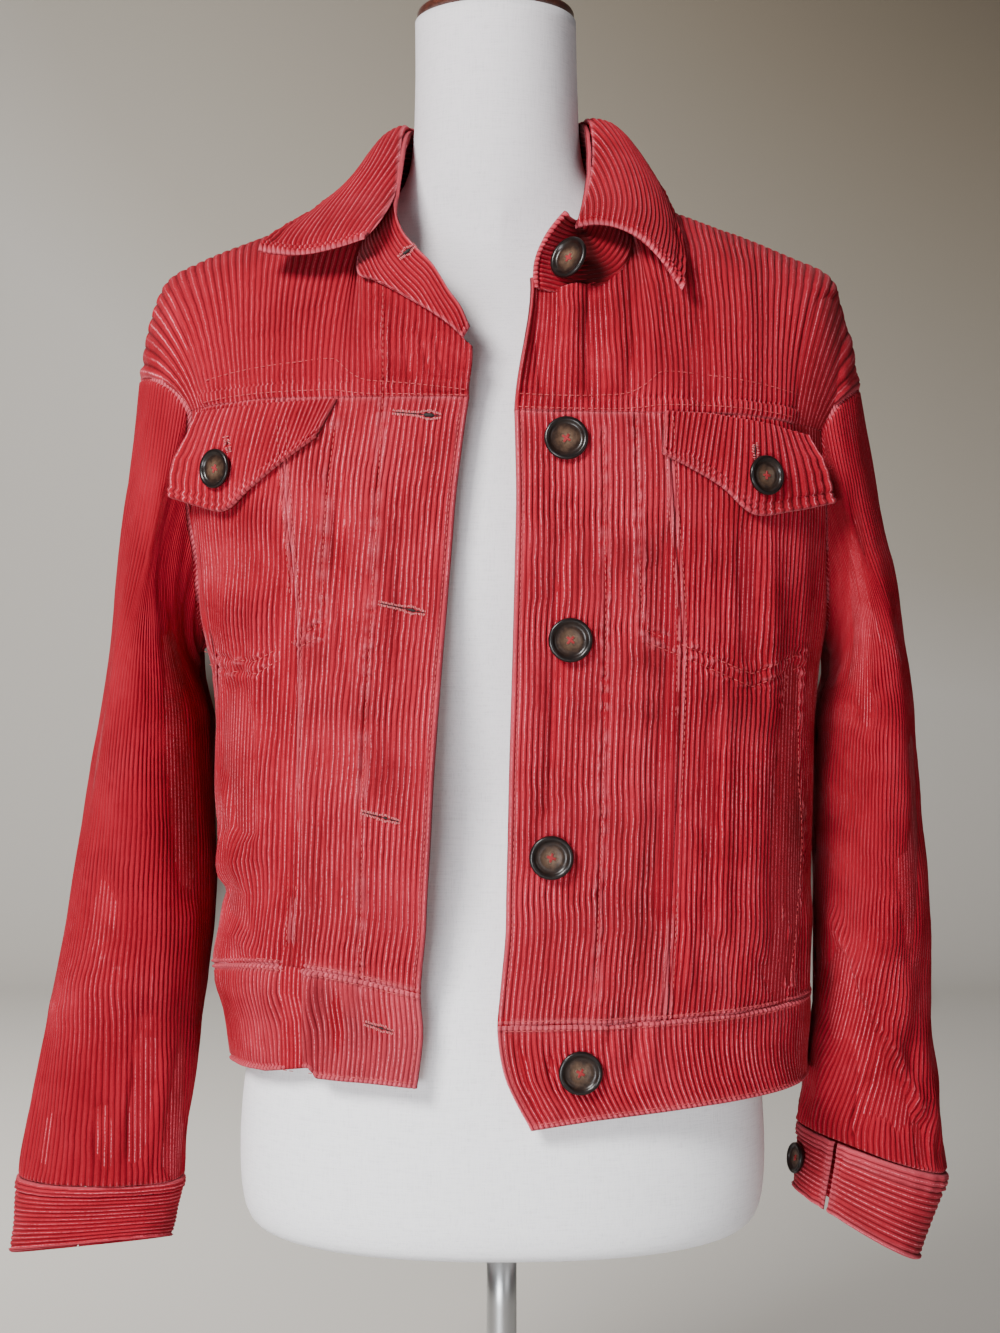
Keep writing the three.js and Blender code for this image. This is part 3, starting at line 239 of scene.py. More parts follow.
# Lengths over the cloth: half the body's girth, the yokes from seam to shoulder, and the cuffs
HALF_AROUND = 400.0
FRONT_YOKE_RISE, BACK_YOKE_RISE = 140, 150
CUFF_AROUND = 262.0
CUFF_TALL = {"right": 50.0, "left": 45.0}
QUARTERS = (0.0, 0.25, 0.5, 0.75)
CUFF = {
    "right": [
        dict(z=321.6, x=-246, y=-5, halfX=50.8, halfY=32.8, turn=0, slope=-0.02),
        dict(z=278.5, x=-252.5, y=-6, halfX=48.5, halfY=29, turn=0, slope=0.1, tilt=0.28),
    ],
    "left": [
        dict(z=337, x=231, y=3, halfX=46, halfY=34, turn=24, slope=-0.3),
        dict(z=291, x=220.5, y=0, halfX=38.5, halfY=31, turn=24, slope=-0.55),
    ],
}
CUFF_OPEN = {"right": (0.79, 0.793), "left": (0.292, 0.3)}
STAND = Table(
    ["s", "x", "y", "z", "topX", "topY", "topZ"],
    [
        [0, -20.5, -112.5, 821, -17, -111.5, 827.5],
        [1, -28.5, -111.5, 829, -22, -107.5, 839],
        [2, -37, -109, 836, -30, -101, 851],
        [3, -48, -104.5, 844, -38.5, -94, 866],
        [4, -60, -99.5, 852, -48.5, -87, 877.5],
        [5, -71, -95.5, 858.5, -56, -79, 888],
        [6, -80, -91.5, 863, -60, -72.5, 899],
        [7, -82, -62, 882, -60, -59, 915],
        [8, -80, -32, 905.5, -58, -38, 940.5],
        [9, -75, 0, 925, -56.5, -8, 964],
        [10, -60, 28, 923.5, -50, 26, 973.5],
        [11, -33, 48, 918, -30, 50, 977.5],
        [12, 0, 57, 915, -3, 59.5, 979.5],
        [13, 33, 48, 918, 25, 50, 978.5],
        [14, 60, 28, 923.5, 45, 26, 976.5],
        [15, 75, 0, 926, 52.5, -8, 968],
        [16, 77, -32, 907.5, 53, -38, 938.5],
        [17, 76, -62, 883.5, 49.5, -60, 913.5],
        [18, 68, -83, 864.5, 45.5, -69, 897],
        [19, 54, -92, 855.5, 45, -73, 896],
        [20, 35, -98, 851.5, 42.5, -77, 896.5],
        [21, 19, -101, 853.5, 37.5, -80, 897.5],
    ],
)
LEAF = Table(
    ["s", "x", "y", "z", "edgeX", "edgeY", "edgeZ", "full", "sag"],
    [
        [0, -77.6, -101, 879.6, -140.5, -80, 877, 2, 8],
        [0.5, -69, -91, 892, -132.5, -65, 889, 3, 4],
        [1, -62, -62, 914, -123, -48, 899, 4, 0],
        [2, -60.5, -38, 942, -103, -22, 917, 5, 0],
        [3, -59, -8, 966, -87, 8, 935, 5, 0],
        [4, -52, 28, 975, -75, 45, 934, 5, 0],
        [5, -31, 52.6, 978.5, -48, 80, 927, 5, 0],
        [6, -3, 62.2, 980.5, -2, 92, 924, 5, 0],
        [7, 26, 52.6, 979.5, 46, 80, 928, 5, 0],
        [8, 47, 28, 978, 72, 45, 938, 6, 0],
        [9, 55, -8, 970, 85, 2, 944, 8, 0],
        [10, 55.5, -38, 940, 101, -32, 912, 9, 0],
        [11, 50, -66, 910, 108, -68, 878, 9, -1],
        [12, 43.5, -82, 889.5, 105, -94, 851, 6, -6],
    ],
)
STAND_ROLL = 9
FLAP = {
    "right": Table(
        ["w", "x", "y", "footX", "footY", "bow"],
        [
            [0, 338, 400, 318, 438, 0],
            [0.25, 305, 402, 284, 463, 0],
            [0.5, 270, 404, 252, 490, -2],
            [0.7, 240, 408, 229, 511, -5],
            [0.85, 222, 411, 203, 506, -7],
            [1, 202, 415, 179, 498, -9],
        ],
    ),
    "left": Table(
        ["w", "x", "y", "footX", "footY", "bow"],
        [
            [0, 664, 412, 661, 455, 0],
            [0.25, 700, 414, 691, 470, 0],
            [0.45, 728, 418, 720, 488, 0],
            [0.65, 754, 423, 751, 515, 2],
            [0.82, 778, 429, 787, 512, 4],
            [1, 804, 438, 826, 504, 4],
        ],
    ),
}
FLAP_STRAIGHT = 0.82
FLAP_STAND_OFF = 5
FLAP_THICK = 1.1
FLAP_WIDE, FLAP_TALL = 88.0, 50

# Folds of the front on the picture plane, in photo pixels: two ends, half width and height in millimetres
FOLDS = [
    (290, 950, 294, 1080, 6, -7), (310, 975, 306, 1075, 6, 3), (243, 835, 229, 885, 12, 4),
    (237, 690, 243, 850, 9, -3), (155, 300, 192, 450, 11, -5), (829, 300, 815, 450, 11, -5),
    (528, 275, 519, 392, 4, 4), (549, 262, 549, 392, 6, -6.5), (553, 335, 552, 396, 3, 3),
    (598, 240, 595, 392, 6, -4.5), (574, 262, 572, 400, 8, 3), (430, 700, 433, 960, 9, 2.5),
    (385, 520, 360, 950, 12, 2), (530, 460, 525, 980, 10, 2.5), (792, 674, 785, 980, 8, -3),
    (287, 560, 292, 940, 8, -2.5), (675, 540, 669, 980, 8, -2.5), (600, 985, 612, 1060, 12, 3),
]
FINE_FOLDS = [
    (339, 520, 351, 720, 3.5, -2.4), (327, 500, 334, 720, 3, 1.2), (352, 560, 358, 800, 3, 1.1),
    (318, 700, 322, 930, 4, -1.2), (715, 700, 712, 930, 6, -2.2), (745, 520, 748, 660, 6, -2.0),
    (575, 480, 556, 620, 4, -1.4), (562, 660, 540, 850, 4, -1.3), (640, 700, 634, 960, 5, 1.2),
    (310, 965, 308, 1060, 5, 2.2), (270, 970, 266, 1050, 5, 1.6), (335, 985, 338, 1065, 4, -1.2),
    (516, 1040, 542, 1122, 3, -1.8), (533, 1035, 556, 1118, 3, 1.6),
    (545, 1100, 556, 1045, 2.5, -1.4), (640, 1020, 628, 1090, 4, -1.6),
    (655, 1015, 648, 1085, 4, 1.2), (612, 1015, 604, 1060, 3, -1.5),
    (752, 950, 790, 1010, 4, -1.4), (700, 900, 735, 985, 4, -1.3), (690, 985, 688, 920, 3, 1.5),
    (560, 440, 552, 760, 4, -0.8), (610, 560, 606, 960, 4, -0.9), (545, 720, 540, 985, 3.5, 0.8),
    (405, 430, 396, 700, 4, -0.8), (345, 470, 322, 640, 3, -1.4), (300, 640, 306, 900, 4, 1.2),
    (252, 560, 262, 860, 4, 1.4), (222, 780, 240, 870, 3, 1.8), (228, 880, 246, 930, 4, -2.0),
    (225, 930, 262, 958, 4, 1.5), (640, 500, 643, 760, 4, 0.9), (706, 520, 716, 640, 4, 1.2),
    (744, 540, 752, 660, 4, -1.2), (728, 700, 722, 930, 5, 1.2), (768, 540, 772, 720, 5, 1.4),
    (655, 240, 652, 400, 5, 1.2), (700, 260, 704, 415, 6, -1.2), (746, 262, 752, 410, 6, 1.0),
    (634, 290, 632, 400, 4, -1.4), (520, 300, 518, 395, 3, 1.2), (404, 310, 412, 385, 3, -1.3),
    (418, 320, 430, 370, 2.6, -1.5), (437, 330, 442, 368, 2.4, -1.4), (382, 300, 386, 385, 3, 1.1),
    (300, 300, 296, 395, 6, 0.9), (232, 290, 228, 400, 6, -0.9), (852, 330, 836, 430, 4, 1.4),
    (142, 330, 168, 420, 4, 1.4),
]

FAR = 1e4

# Rows of stitches on the fronts, in photo pixels
SEWN = [
    [(383, 285), (383, 390), (380, 450), (372, 600), (366, 700), (362, 800), (361, 900), (360, 985)],
    [(603, 430), (606, 600), (605, 700), (601, 850), (595, 1000)],
    [(335, 425), (326, 499), (322, 560), (323, 612)],
    [(636, 414), (639, 517), (642, 630)],
    [(323, 622), (290, 641), (255, 662), (230, 659), (200, 650)],
    [(322, 634), (290, 653), (256, 674), (230, 671), (202, 662)],
    [(645, 630), (700, 652), (752, 674), (775, 665), (803, 652)],
    [(646, 642), (700, 664), (752, 687), (775, 678), (803, 665)],
    [(799, 674), (798, 778), (801, 812), (802, 847), (795, 938), (790, 984)],
    [(786, 674), (785, 778), (788, 812), (789, 847), (780, 938), (776, 984)],
]


def rng_waves(seed, count, shortest, longest):
    rng = np.random.default_rng(seed)
    angle = rng.uniform(0, 2 * math.pi, count)
    length = np.exp(rng.uniform(math.log(shortest), math.log(longest), count))
    start = rng.uniform(0, 2 * math.pi, count)
    return np.stack([np.cos(angle) / length * 2 * math.pi, np.sin(angle) / length * 2 * math.pi, start], 1)


def ripple(a, b, seed, shortest=20.0, longest=80.0, count=9):
    """Smooth uneven value of about -1 to 1 over two lengths in millimetres."""
    total = 0.0
    for wave_a, wave_b, phase in rng_waves(seed, count, shortest, longest):
        total = total + np.sin(wave_a * a + wave_b * b + phase)
    return total / math.sqrt(count)


def vec(x, y, z):
    return np.stack(np.broadcast_arrays(x, y, z), -1).astype(float)


def length_of(v):
    return np.sqrt((v * v).sum(-1, keepdims=True))


def unit(v):
    return v / np.maximum(length_of(v), 1e-9)


# Rings of the body, sampled evenly by share of the way from front edge to middle of the back
RING_STEP = 2.0
RING_CELLS = 800
RING_Z = np.arange(350.0, 842.0, RING_STEP)
RING_Q = np.linspace(0, 1, RING_CELLS + 1)
# Share of the body's half width over which a ring's points are evenly spread in X
FLAT_SHARE = 0.8


def ring_table(side):
    sign = 1 if side == "left" else -1
    xs, ys, lengths = [], [], []
    for z in RING_Z:
        reach, front, back = BODY(side, z), BODY("front", z), BODY("back", z)
        edge = BODY("edgeLeft" if side == "left" else "edgeRight", z) * sign
        x = mix(edge, reach * FLAT_SHARE, np.linspace(0, 1, 120))
        y = -front * (1 - np.abs(x / reach) ** FRONT_POWER) ** (1 / FRONT_POWER)
        turn = np.linspace(math.asin(FLAT_SHARE ** (FRONT_POWER / 2)), math.pi / 2, 160)[1:]
        x = np.append(x, reach * np.sin(turn) ** (2 / FRONT_POWER))
        y = np.append(y, -front * np.abs(np.cos(turn)) ** (2 / FRONT_POWER))
        turn = np.linspace(math.pi / 2, math.pi, 320)[1:]
        x = np.append(x, reach * np.abs(np.sin(turn)) ** (2 / BACK_POWER))
        y = np.append(y, back * np.abs(np.cos(turn)) ** (2 / BACK_POWER))
        run = np.append(0, np.cumsum(np.hypot(np.diff(x), np.diff(y))))
        xs.append(np.interp(RING_Q, run / run[-1], x) * sign)
        ys.append(np.interp(RING_Q, run / run[-1], y))
        lengths.append(run[-1])
    return np.array(xs), np.array(ys), np.array(lengths)


RINGS = {side: ring_table(side) for side in SIDES}


def body_at(side, q, z):
    xs, ys, _ = RINGS[side]
    q, z = np.broadcast_arrays(np.asarray(q, float), np.asarray(z, float))
    i = np.clip((z - RING_Z[0]) / RING_STEP, 0, len(RING_Z) - 1.001)
    j = np.clip(q * RING_CELLS, 0, RING_CELLS - 0.001)
    i0, j0 = i.astype(int), j.astype(int)
    a, b = i - i0, j - j0

    def pick(grid):
        top = mix(grid[i0, j0], grid[i0, j0 + 1], b)
        low = mix(grid[i0 + 1, j0], grid[i0 + 1, j0 + 1], b)
        return mix(top, low, a)

    return vec(pick(xs), pick(ys), z)


def ring_length(side, z):
    return np.interp(z, RING_Z, RINGS[side][2])


def share_where(side, z, wanted, measure, high=1.0):
    z = np.asarray(z, float)
    low, top = np.zeros_like(z), np.full_like(z, high)
    for _ in range(28):
        middle = (low + top) / 2
        less = measure(body_at(side, middle, z)) < wanted
        low, top = np.where(less, middle, low), np.where(less, top, middle)
    return low


def armhole_shares(side):
    def depth(p):
        return p[..., 1]

    return tuple(
        float(share_where(side, z, y, depth))
        for y, z in (
            (ARMHOLE_FRONT_Y, ARMHOLE_SEAM_Z),
            (ARMHOLE_FOOT_Y, ARMHOLE_FOOT_Z),
            (ARMHOLE_BACK_Y, ARMHOLE_SEAM_Z),
        )
    )


ARMHOLES = {side: armhole_shares(side) for side in SIDES}


def panel_top(side, q):
    front, foot, back = ARMHOLES[side]
    q = np.asarray(q, float)
    seam = YOKE_SEAM(side, q)
    half = np.where(q < foot, foot - front, back - foot)
    w = np.clip(np.abs(q - foot) / half, 0, 1)
    rise = 1 - (1 - w**2.3) ** (1 / 2.3)
    inside = (q > front) & (q < back)
    return np.where(inside, mix(ARMHOLE_FOOT_Z, seam, rise), seam)


PANEL_SEAM_Z = np.arange(400.0, 812.0, 4.0)
PANEL_SEAM_Q = {}
for each_side in SIDES:
    seen_x = np.abs(PANEL_SEAM(each_side, PANEL_SEAM_Z))
    PANEL_SEAM_Q[each_side] = share_where(
        each_side,
        PANEL_SEAM_Z,
        seen_x,
        lambda p: np.abs(p[..., 0] * VIEW_DISTANCE / (VIEW_DISTANCE + p[..., 1])),
        0.5,
    )


def panel_seam(side, z):
    return np.interp(z, PANEL_SEAM_Z, PANEL_SEAM_Q[side])


def yoke_at(side, face, u, v):
    sign = 1 if side == "left" else -1
    front, _, back = ARMHOLES[side]
    u, v = np.broadcast_arrays(np.asarray(u, float), np.asarray(v, float))
    q = mix(0.0, front, u) if face == "front" else mix(1.0, back, u)
    foot = body_at(side, q, YOKE_SEAM(side, q))
    table = BACK_TOP if face == "back" else YOKE_TOP[side]
    mirror = sign if face == "back" else 1
    head = vec(table("x", u) * mirror, table("y", u), table("z", u))
    span = length_of(head - foot)
    outward = np.maximum(u - 0.8, 0) / 0.2
    lean = 0.16 if face == "front" else -0.1
    foot_way = unit(vec(sign * (0.04 + 0.4 * outward**2), lean * (1 - outward), 1.0)) * span * 1.05
    head_way = unit(vec(0.0, table("back", u), table("up", u))) * span
    return hermite(foot, foot_way, head, head_way, v[..., None])


def armhole_line(side):
    front, foot, back = ARMHOLES[side]
    down = yoke_at(side, "front", 1.0, np.linspace(1, 0, 60, endpoint=False))
    share = (1 - np.cos(np.linspace(0, math.pi, 180))) / 2
    q = np.where(share < 0.5, mix(front, foot, share * 2), mix(foot, back, share * 2 - 1))
    low = body_at(side, q, panel_top(side, q))
    up = yoke_at(side, "back", 1.0, np.linspace(0, 1, 61)[1:])
    points = np.concatenate([down, low, up])
    run = np.append(0, np.cumsum(length_of(np.diff(points, axis=0))[:, 0]))
    shares = np.linspace(0, 1, 721)
    return np.stack([np.interp(shares, run / run[-1], points[:, k]) for k in range(3)], 1)


ARMHOLE_LINES = {side: armhole_line(side) for side in SIDES}


def on_line(line, share):
    share = np.mod(share, 1.0)
    places = np.linspace(0, 1, len(line))
    return np.stack([np.interp(share, places, line[:, k]) for k in range(3)], -1)


def ring_point(side, s, share):
    """Point of an oval ring; share 0 is outermost, 0.25 in front and 0.5 next to the body."""
    sign = 1 if side == "left" else -1
    angle = np.asarray(share) * 2 * math.pi
    power = 2 / 2.15
    wide = np.sign(np.cos(angle)) * np.abs(np.cos(angle)) ** power * s["halfX"]
    deep = -np.sign(np.sin(angle)) * np.abs(np.sin(angle)) ** power * s["halfY"]
    turn = -np.radians(s["turn"])
    x = sign * wide * np.cos(turn) - deep * np.sin(turn)
    y = sign * wide * np.sin(turn) + deep * np.cos(turn)
    return vec(s["x"] + x, s["y"] + y, s["z"] + s["slope"] * x - s.get("tilt", 0.0) * y)


def sleeve_section(side, z):
    section = {name: SLEEVE[side](name, z) for name in SLEEVE_COLUMNS[1:]}
    return {**section, "z": z}


def sleeve_at(side, share, v):
    sign = 1 if side == "left" else -1
    share, v = np.broadcast_arrays(np.asarray(share, float), np.asarray(v, float))
    first, last = SLEEVE_ENDS[side]
    z = mix(first, last, np.clip((v - SLEEVE_HEAD) / (1 - SLEEVE_HEAD), 0, 1))
    lower = ring_point(side, sleeve_section(side, z), share)
    start = on_line(ARMHOLE_LINES[side], share)
    round_ = np.cos(share * 2 * math.pi)
    away = 0.45 - 0.33 * round_
    forward = -0.12 * np.sin(share * 2 * math.pi)
    way = vec(sign * away, forward, -np.sqrt(1 - away**2 - forward**2))
    start = start + way * 0.5
    start[..., 0] += sign * 1.2 * np.maximum(-round_, 0)
    end = ring_point(side, sleeve_section(side, np.full_like(z, first)), share)
    below = ring_point(side, sleeve_section(side, np.full_like(z, first - 8.0)), share)
    span = length_of(end - start)
    start[..., 0] -= sign * 2.2 * np.clip(-v / 0.012, 0, 1)
    w = np.clip(v / SLEEVE_HEAD, -0.04, 1)[..., None]
    upper = hermite(start, way * span, end, unit(below - end) * span, w)
    return np.where((v < SLEEVE_HEAD)[..., None], upper, lower)


def seen(p):
    """Place of a point on the photo, in its pixels."""
    scale = VIEW_DISTANCE / (VIEW_DISTANCE + p[..., 1])
    x = MIDDLE_X + p[..., 0] * scale / VIEW_SCALE
    y = MIDDLE_Y - (p[..., 2] - VIEW_HEIGHT) * scale / VIEW_SCALE
    return x, y


def folds_at(p, folds):
    px, py = seen(p)
    total = np.zeros(px.shape)
    for x0, y0, x1, y1, half, high in folds:
        dx, dy = x1 - x0, y1 - y0
        w = ((px - x0) * dx + (py - y0) * dy) / (dx * dx + dy * dy)
        inside = np.clip(w, 0, 1)
        away = np.hypot(px - x0 - inside * dx, py - y0 - inside * dy) * VIEW_SCALE / half
        ends = np.sin(np.pi * np.clip(w * 0.9 + 0.05, 0, 1)) ** 0.5
        total += high * np.exp(-away * away) * ends
    return np.where(p[..., 1] > NEAR_SIDE_Y, 0, total)


def to_lines(p, lines):
    """Distance in millimetres, on the picture plane, to the nearest of some lines."""
    px, py = seen(p)
    best = np.full(px.shape, FAR)
    for line in lines:
        for (x0, y0), (x1, y1) in zip(line[:-1], line[1:]):
            dx, dy = x1 - x0, y1 - y0
            w = np.clip(((px - x0) * dx + (py - y0) * dy) / (dx * dx + dy * dy), 0, 1)
            best = np.minimum(best, np.hypot(px - x0 - w * dx, py - y0 - w * dy) * VIEW_SCALE)
    return np.where(p[..., 1] > NEAR_SIDE_Y, FAR, best)


def rib_height(phase):
    """Height of a rib, 0 in the groove and 1 on its crown."""
    return np.sin(np.pi * phase) ** 0.62


def near(d, place, half):
    return np.exp(-(((d - place) / half) ** 2))


# Meshes


def make_mesh(name, vertices, faces, slot, material, uv=None, wear_and_painted_light=None, weld=False):
    """Mesh from points in millimetres and an array, or a list of arrays, of faces."""
    lists = faces if isinstance(faces, list) else [faces]
    groups = [np.asarray(f, dtype=np.int64) for f in lists if len(f)]
    ids = np.arange(len(vertices))
    if weld:
        _, first, ids = np.unique(np.round(vertices, 3), axis=0, return_index=True, return_inverse=True)
        ids = ids.ravel()
        vertices = vertices[first]
        wear_and_painted_light = None if wear_and_painted_light is None else wear_and_painted_light[first]
        groups = [part for group in groups for part in without_repeats(group, ids)]
    sizes = np.concatenate([np.full(len(g), g.shape[1]) for g in groups])
    corners = np.concatenate([g.ravel() for g in groups])
    mesh = bpy.data.meshes.new(name)
    mesh.vertices.add(len(vertices))
    mesh.vertices.foreach_set("co", np.ascontiguousarray(vertices * MM, dtype=np.float32).ravel())
    mesh.loops.add(len(corners))
    mesh.loops.foreach_set("vertex_index", ids[corners].astype(np.int32))
    mesh.polygons.add(len(sizes))
    mesh.polygons.foreach_set("loop_start", np.append(0, np.cumsum(sizes)[:-1]).astype(np.int32))
    mesh.polygons.foreach_set("use_smooth", np.ones(len(sizes), dtype=bool))
    if uv is not None:
        layer = mesh.uv_layers.new(name="cloth")
        layer.data.foreach_set("uv", np.ascontiguousarray(uv[corners], dtype=np.float32).ravel())
    if wear_and_painted_light is not None:
        attribute = mesh.attributes.new("wear_and_painted_light", "FLOAT", "POINT")
        attribute.data.foreach_set("value", np.ascontiguousarray(wear_and_painted_light, dtype=np.float32))
    mesh.update(calc_edges=True)
    mesh.validate()
    obj = bpy.data.objects.new(name, mesh)
    bpy.context.scene.collection.objects.link(obj)
    mesh.materials.append(material)
    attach(obj, "root")
    return obj


def without_repeats(faces, ids):
    """Faces with all their corners apart, and those that lose one corner as triangles."""
    merged = ids[faces]
    distinct = merged != np.roll(merged, -1, axis=1)
    count = distinct.sum(1)
    whole = faces[count == faces.shape[1]]
    if faces.shape[1] == 3:
        return [whole]
    short = count == 3
    return [whole, faces[short][distinct[short]].reshape(-1, 3)]


def grid_faces(rows, columns):
    i, j = np.meshgrid(np.arange(rows - 1), np.arange(columns - 1), indexing="ij")
    a = i * columns + j
    return np.stack([a, a + 1, a + columns + 1, a + columns], -1).reshape(-1, 4)


def tube_faces(rows, around):
    """Faces of rings of points that follow one another, each ring closed."""
    i, j = np.meshgrid(np.arange(rows - 1), np.arange(around), indexing="ij")
    a = i * around + j
    b = i * around + (j + 1) % around
    return np.stack([a, b, b + around, a + around], -1).reshape(-1, 4)


def grid_normals(p, reference):
    """Normals of a grid of points, turned away from reference points."""
    di = np.gradient(p, axis=0)
    dj = np.gradient(p, axis=1)
    normal = np.cross(di, dj)
    size = length_of(normal)
    # a clamped column has no width, so it takes the normal of its neighbour
    bad = size[..., 0] < 1e-7
    normal = unit(normal)
    if bad.any():
        for j in range(1, p.shape[1]):
            fill = bad[:, j] & ~bad[:, j - 1]
            normal[fill, j] = normal[fill, j - 1]
            bad[fill, j] = False
        for j in range(p.shape[1] - 2, -1, -1):
            fill = bad[:, j] & ~bad[:, j + 1]
            normal[fill, j] = normal[fill, j + 1]
            bad[fill, j] = False
    out = ((p - reference) * normal).sum(-1, keepdims=True)
    return np.where(out < 0, -normal, normal)


def inner_faces(index, pick_i, pick_j):
    """Coarse faces of the inner side; cells at the border keep every point of the rim."""
    low = index[np.ix_(pick_i[1:-2], pick_j[1:-2])]
    high = index[np.ix_(pick_i[2:-1], pick_j[2:-1])]
    across = index[np.ix_(pick_i[1:-2], pick_j[2:-1])]
    up = index[np.ix_(pick_i[2:-1], pick_j[1:-2])]
    quads = np.stack([low, up, high, across], -1).reshape(-1, 4)
    fans = []
    rows, columns = index.shape
    last_i, last_j = len(pick_i) - 2, len(pick_j) - 2
    cells = [(a, b) for a in range(last_i + 1) for b in range(last_j + 1)]
    border = [(a, b) for a, b in cells if a in (0, last_i) or b in (0, last_j)]
    for a, b in border:
        i0, i1, j0, j1 = pick_i[a], pick_i[a + 1], pick_j[b], pick_j[b + 1]
        loop = [index[i0, j] for j in (range(j0, j1) if i0 == 0 else (j0,))]
        loop += [index[i, j1] for i in (range(i0, i1) if j1 == columns - 1 else (i0,))]
        loop += [index[i1, j] for j in (range(j1, j0, -1) if i1 == rows - 1 else (j1,))]
        loop += [index[i, j0] for i in (range(i1, i0, -1) if j0 == 0 else (i1,))]
        corners = [(i, j) for i in (i0, i1) for j in (j0, j1)]
        inside = [index[i, j] for i, j in corners if 0 < i < rows - 1 and 0 < j < columns - 1]
        turn = loop.index(inside[0])
        loop = loop[turn:] + loop[:turn]
        fans += [(loop[0], loop[k + 1], loop[k]) for k in range(1, len(loop) - 1)]
    return quads, np.array(fans)


def shell(name, outer, base, normal, thick, uv, wear_and_painted_light):
    """Closed sheet: its outer side with the ribs, a rim all round, and a coarser inner side."""
    rows, columns = outer.shape[:2]
    pick_i = np.unique(np.append(np.arange(0, rows, 3), rows - 1))
    pick_j = np.unique(np.append(np.arange(0, columns, 6), columns - 1))
    inner = base - normal * thick
    ring = [(0, j) for j in range(columns - 1)]
    ring += [(i, columns - 1) for i in range(rows - 1)]
    ring += [(rows - 1, j) for j in range(columns - 1, 0, -1)]
    ring += [(i, 0) for i in range(rows - 1, 0, -1)]
    ring_i, ring_j = np.array(ring).T
    count = rows * columns
    n = len(ring)
    index = np.full((rows, columns), -1)
    index[ring_i, ring_j] = count + n + np.arange(n)
    inside = np.ix_(pick_i[1:-1], pick_j[1:-1])
    inside_shape = (len(pick_i) - 2, len(pick_j) - 2)
    index[inside] = count + 2 * n + np.arange(inside_shape[0] * inside_shape[1]).reshape(inside_shape)
    edge_out, edge_in = outer[ring_i, ring_j], inner[ring_i, ring_j]
    verts = [outer.reshape(-1, 3), (edge_out + edge_in) / 2, edge_in, inner[inside].reshape(-1, 3)]
    uvs = [uv.reshape(-1, 2), uv[ring_i, ring_j], uv[ring_i, ring_j], uv[inside].reshape(-1, 2)]
    edge_worn = wear_and_painted_light[ring_i, ring_j]
    worns = [wear_and_painted_light.ravel(), edge_worn * 0.6, edge_worn * 0, np.zeros(inside_shape).ravel()]
    along = np.arange(n)
    after = (along + 1) % n
    start = ring_i * columns + ring_j
    middle = count + along
    strip = np.stack([start[after], start, middle, count + after], -1)
    lower = np.stack([count + after, middle, middle + n, count + n + after], -1)
    quads, fans = inner_faces(index, pick_i, pick_j)
    faces = [grid_faces(rows, columns), strip, lower, quads, fans]
    points, uv, wear_and_painted_light = np.concatenate(verts), np.concatenate(uvs), np.concatenate(worns)
    return make_mesh(name, points, faces, "corduroy", CORDUROY, uv, wear_and_painted_light, weld=True)


def dense_places(length, step, marks=LONG_MARKS):
    """Places along a length, close together near both ends where seams and stitches are."""
    marks = np.array([m for m in marks if m < length * 0.4])
    inner = np.linspace(marks[-1], length - marks[-1], max(int((length - 2 * marks[-1]) / step) + 1, 2))
    return np.unique(np.concatenate([marks, inner, length - marks]).round(4)) / length


def rib_places(first, last, across=ACROSS):
    """Places across ribs between two lengths, with both ends included."""
    k = np.arange(math.floor(first / PITCH) - 1, math.ceil(last / PITCH) + 1)
    places = ((k[:, None] + across[None, :]) * PITCH).ravel()
    return np.concatenate([[first], places[(places > first + 0.1) & (places < last - 0.1)], [last]])


def bump(d, first, last, soft=0.5):
    """1 between two distances, falling smoothly to 0 beyond them."""
    rise = 1 / (1 + np.exp(-np.clip((d - first) / soft * 3, -40, 40)))
    fall = 1 / (1 + np.exp(-np.clip((last - d) / soft * 3, -40, 40)))
    return rise * fall


# Distances of rows of stitches from an edge, a raised seam, a flat seam and the yoke's foot
EDGE_ROW, CORD_ROW, SEAM_ROW = 3.6, 3.2, 2.4
BAND_ROWS = (1.6, 9.4)

# How cloth is finished beside an edge: raised bands (from, to, height) and rows of stitches (place, depth)
FINISH = {
    "plain": dict(bands=(), rows=()),
    "seam": dict(bands=((0.5, 2.4, 0.7),), rows=((3.0, 0.6),)),
    "edge": dict(bands=((0.4, 3.0, 0.3),), rows=((EDGE_ROW, 0.5),)),
    "band": dict(bands=((0.5, 8.4, 0.85),), rows=((BAND_ROWS[0], 0.35), (BAND_ROWS[1], 0.8))),
    "double": dict(bands=((0.2, 3.2, 0.9), (4.0, 6.6, 0.55)), rows=((3.6, 0.7), (7.2, 0.7))),
    "cord": dict(bands=((0.3, 2.6, 1.0),), rows=((CORD_ROW, 0.6),)),
}


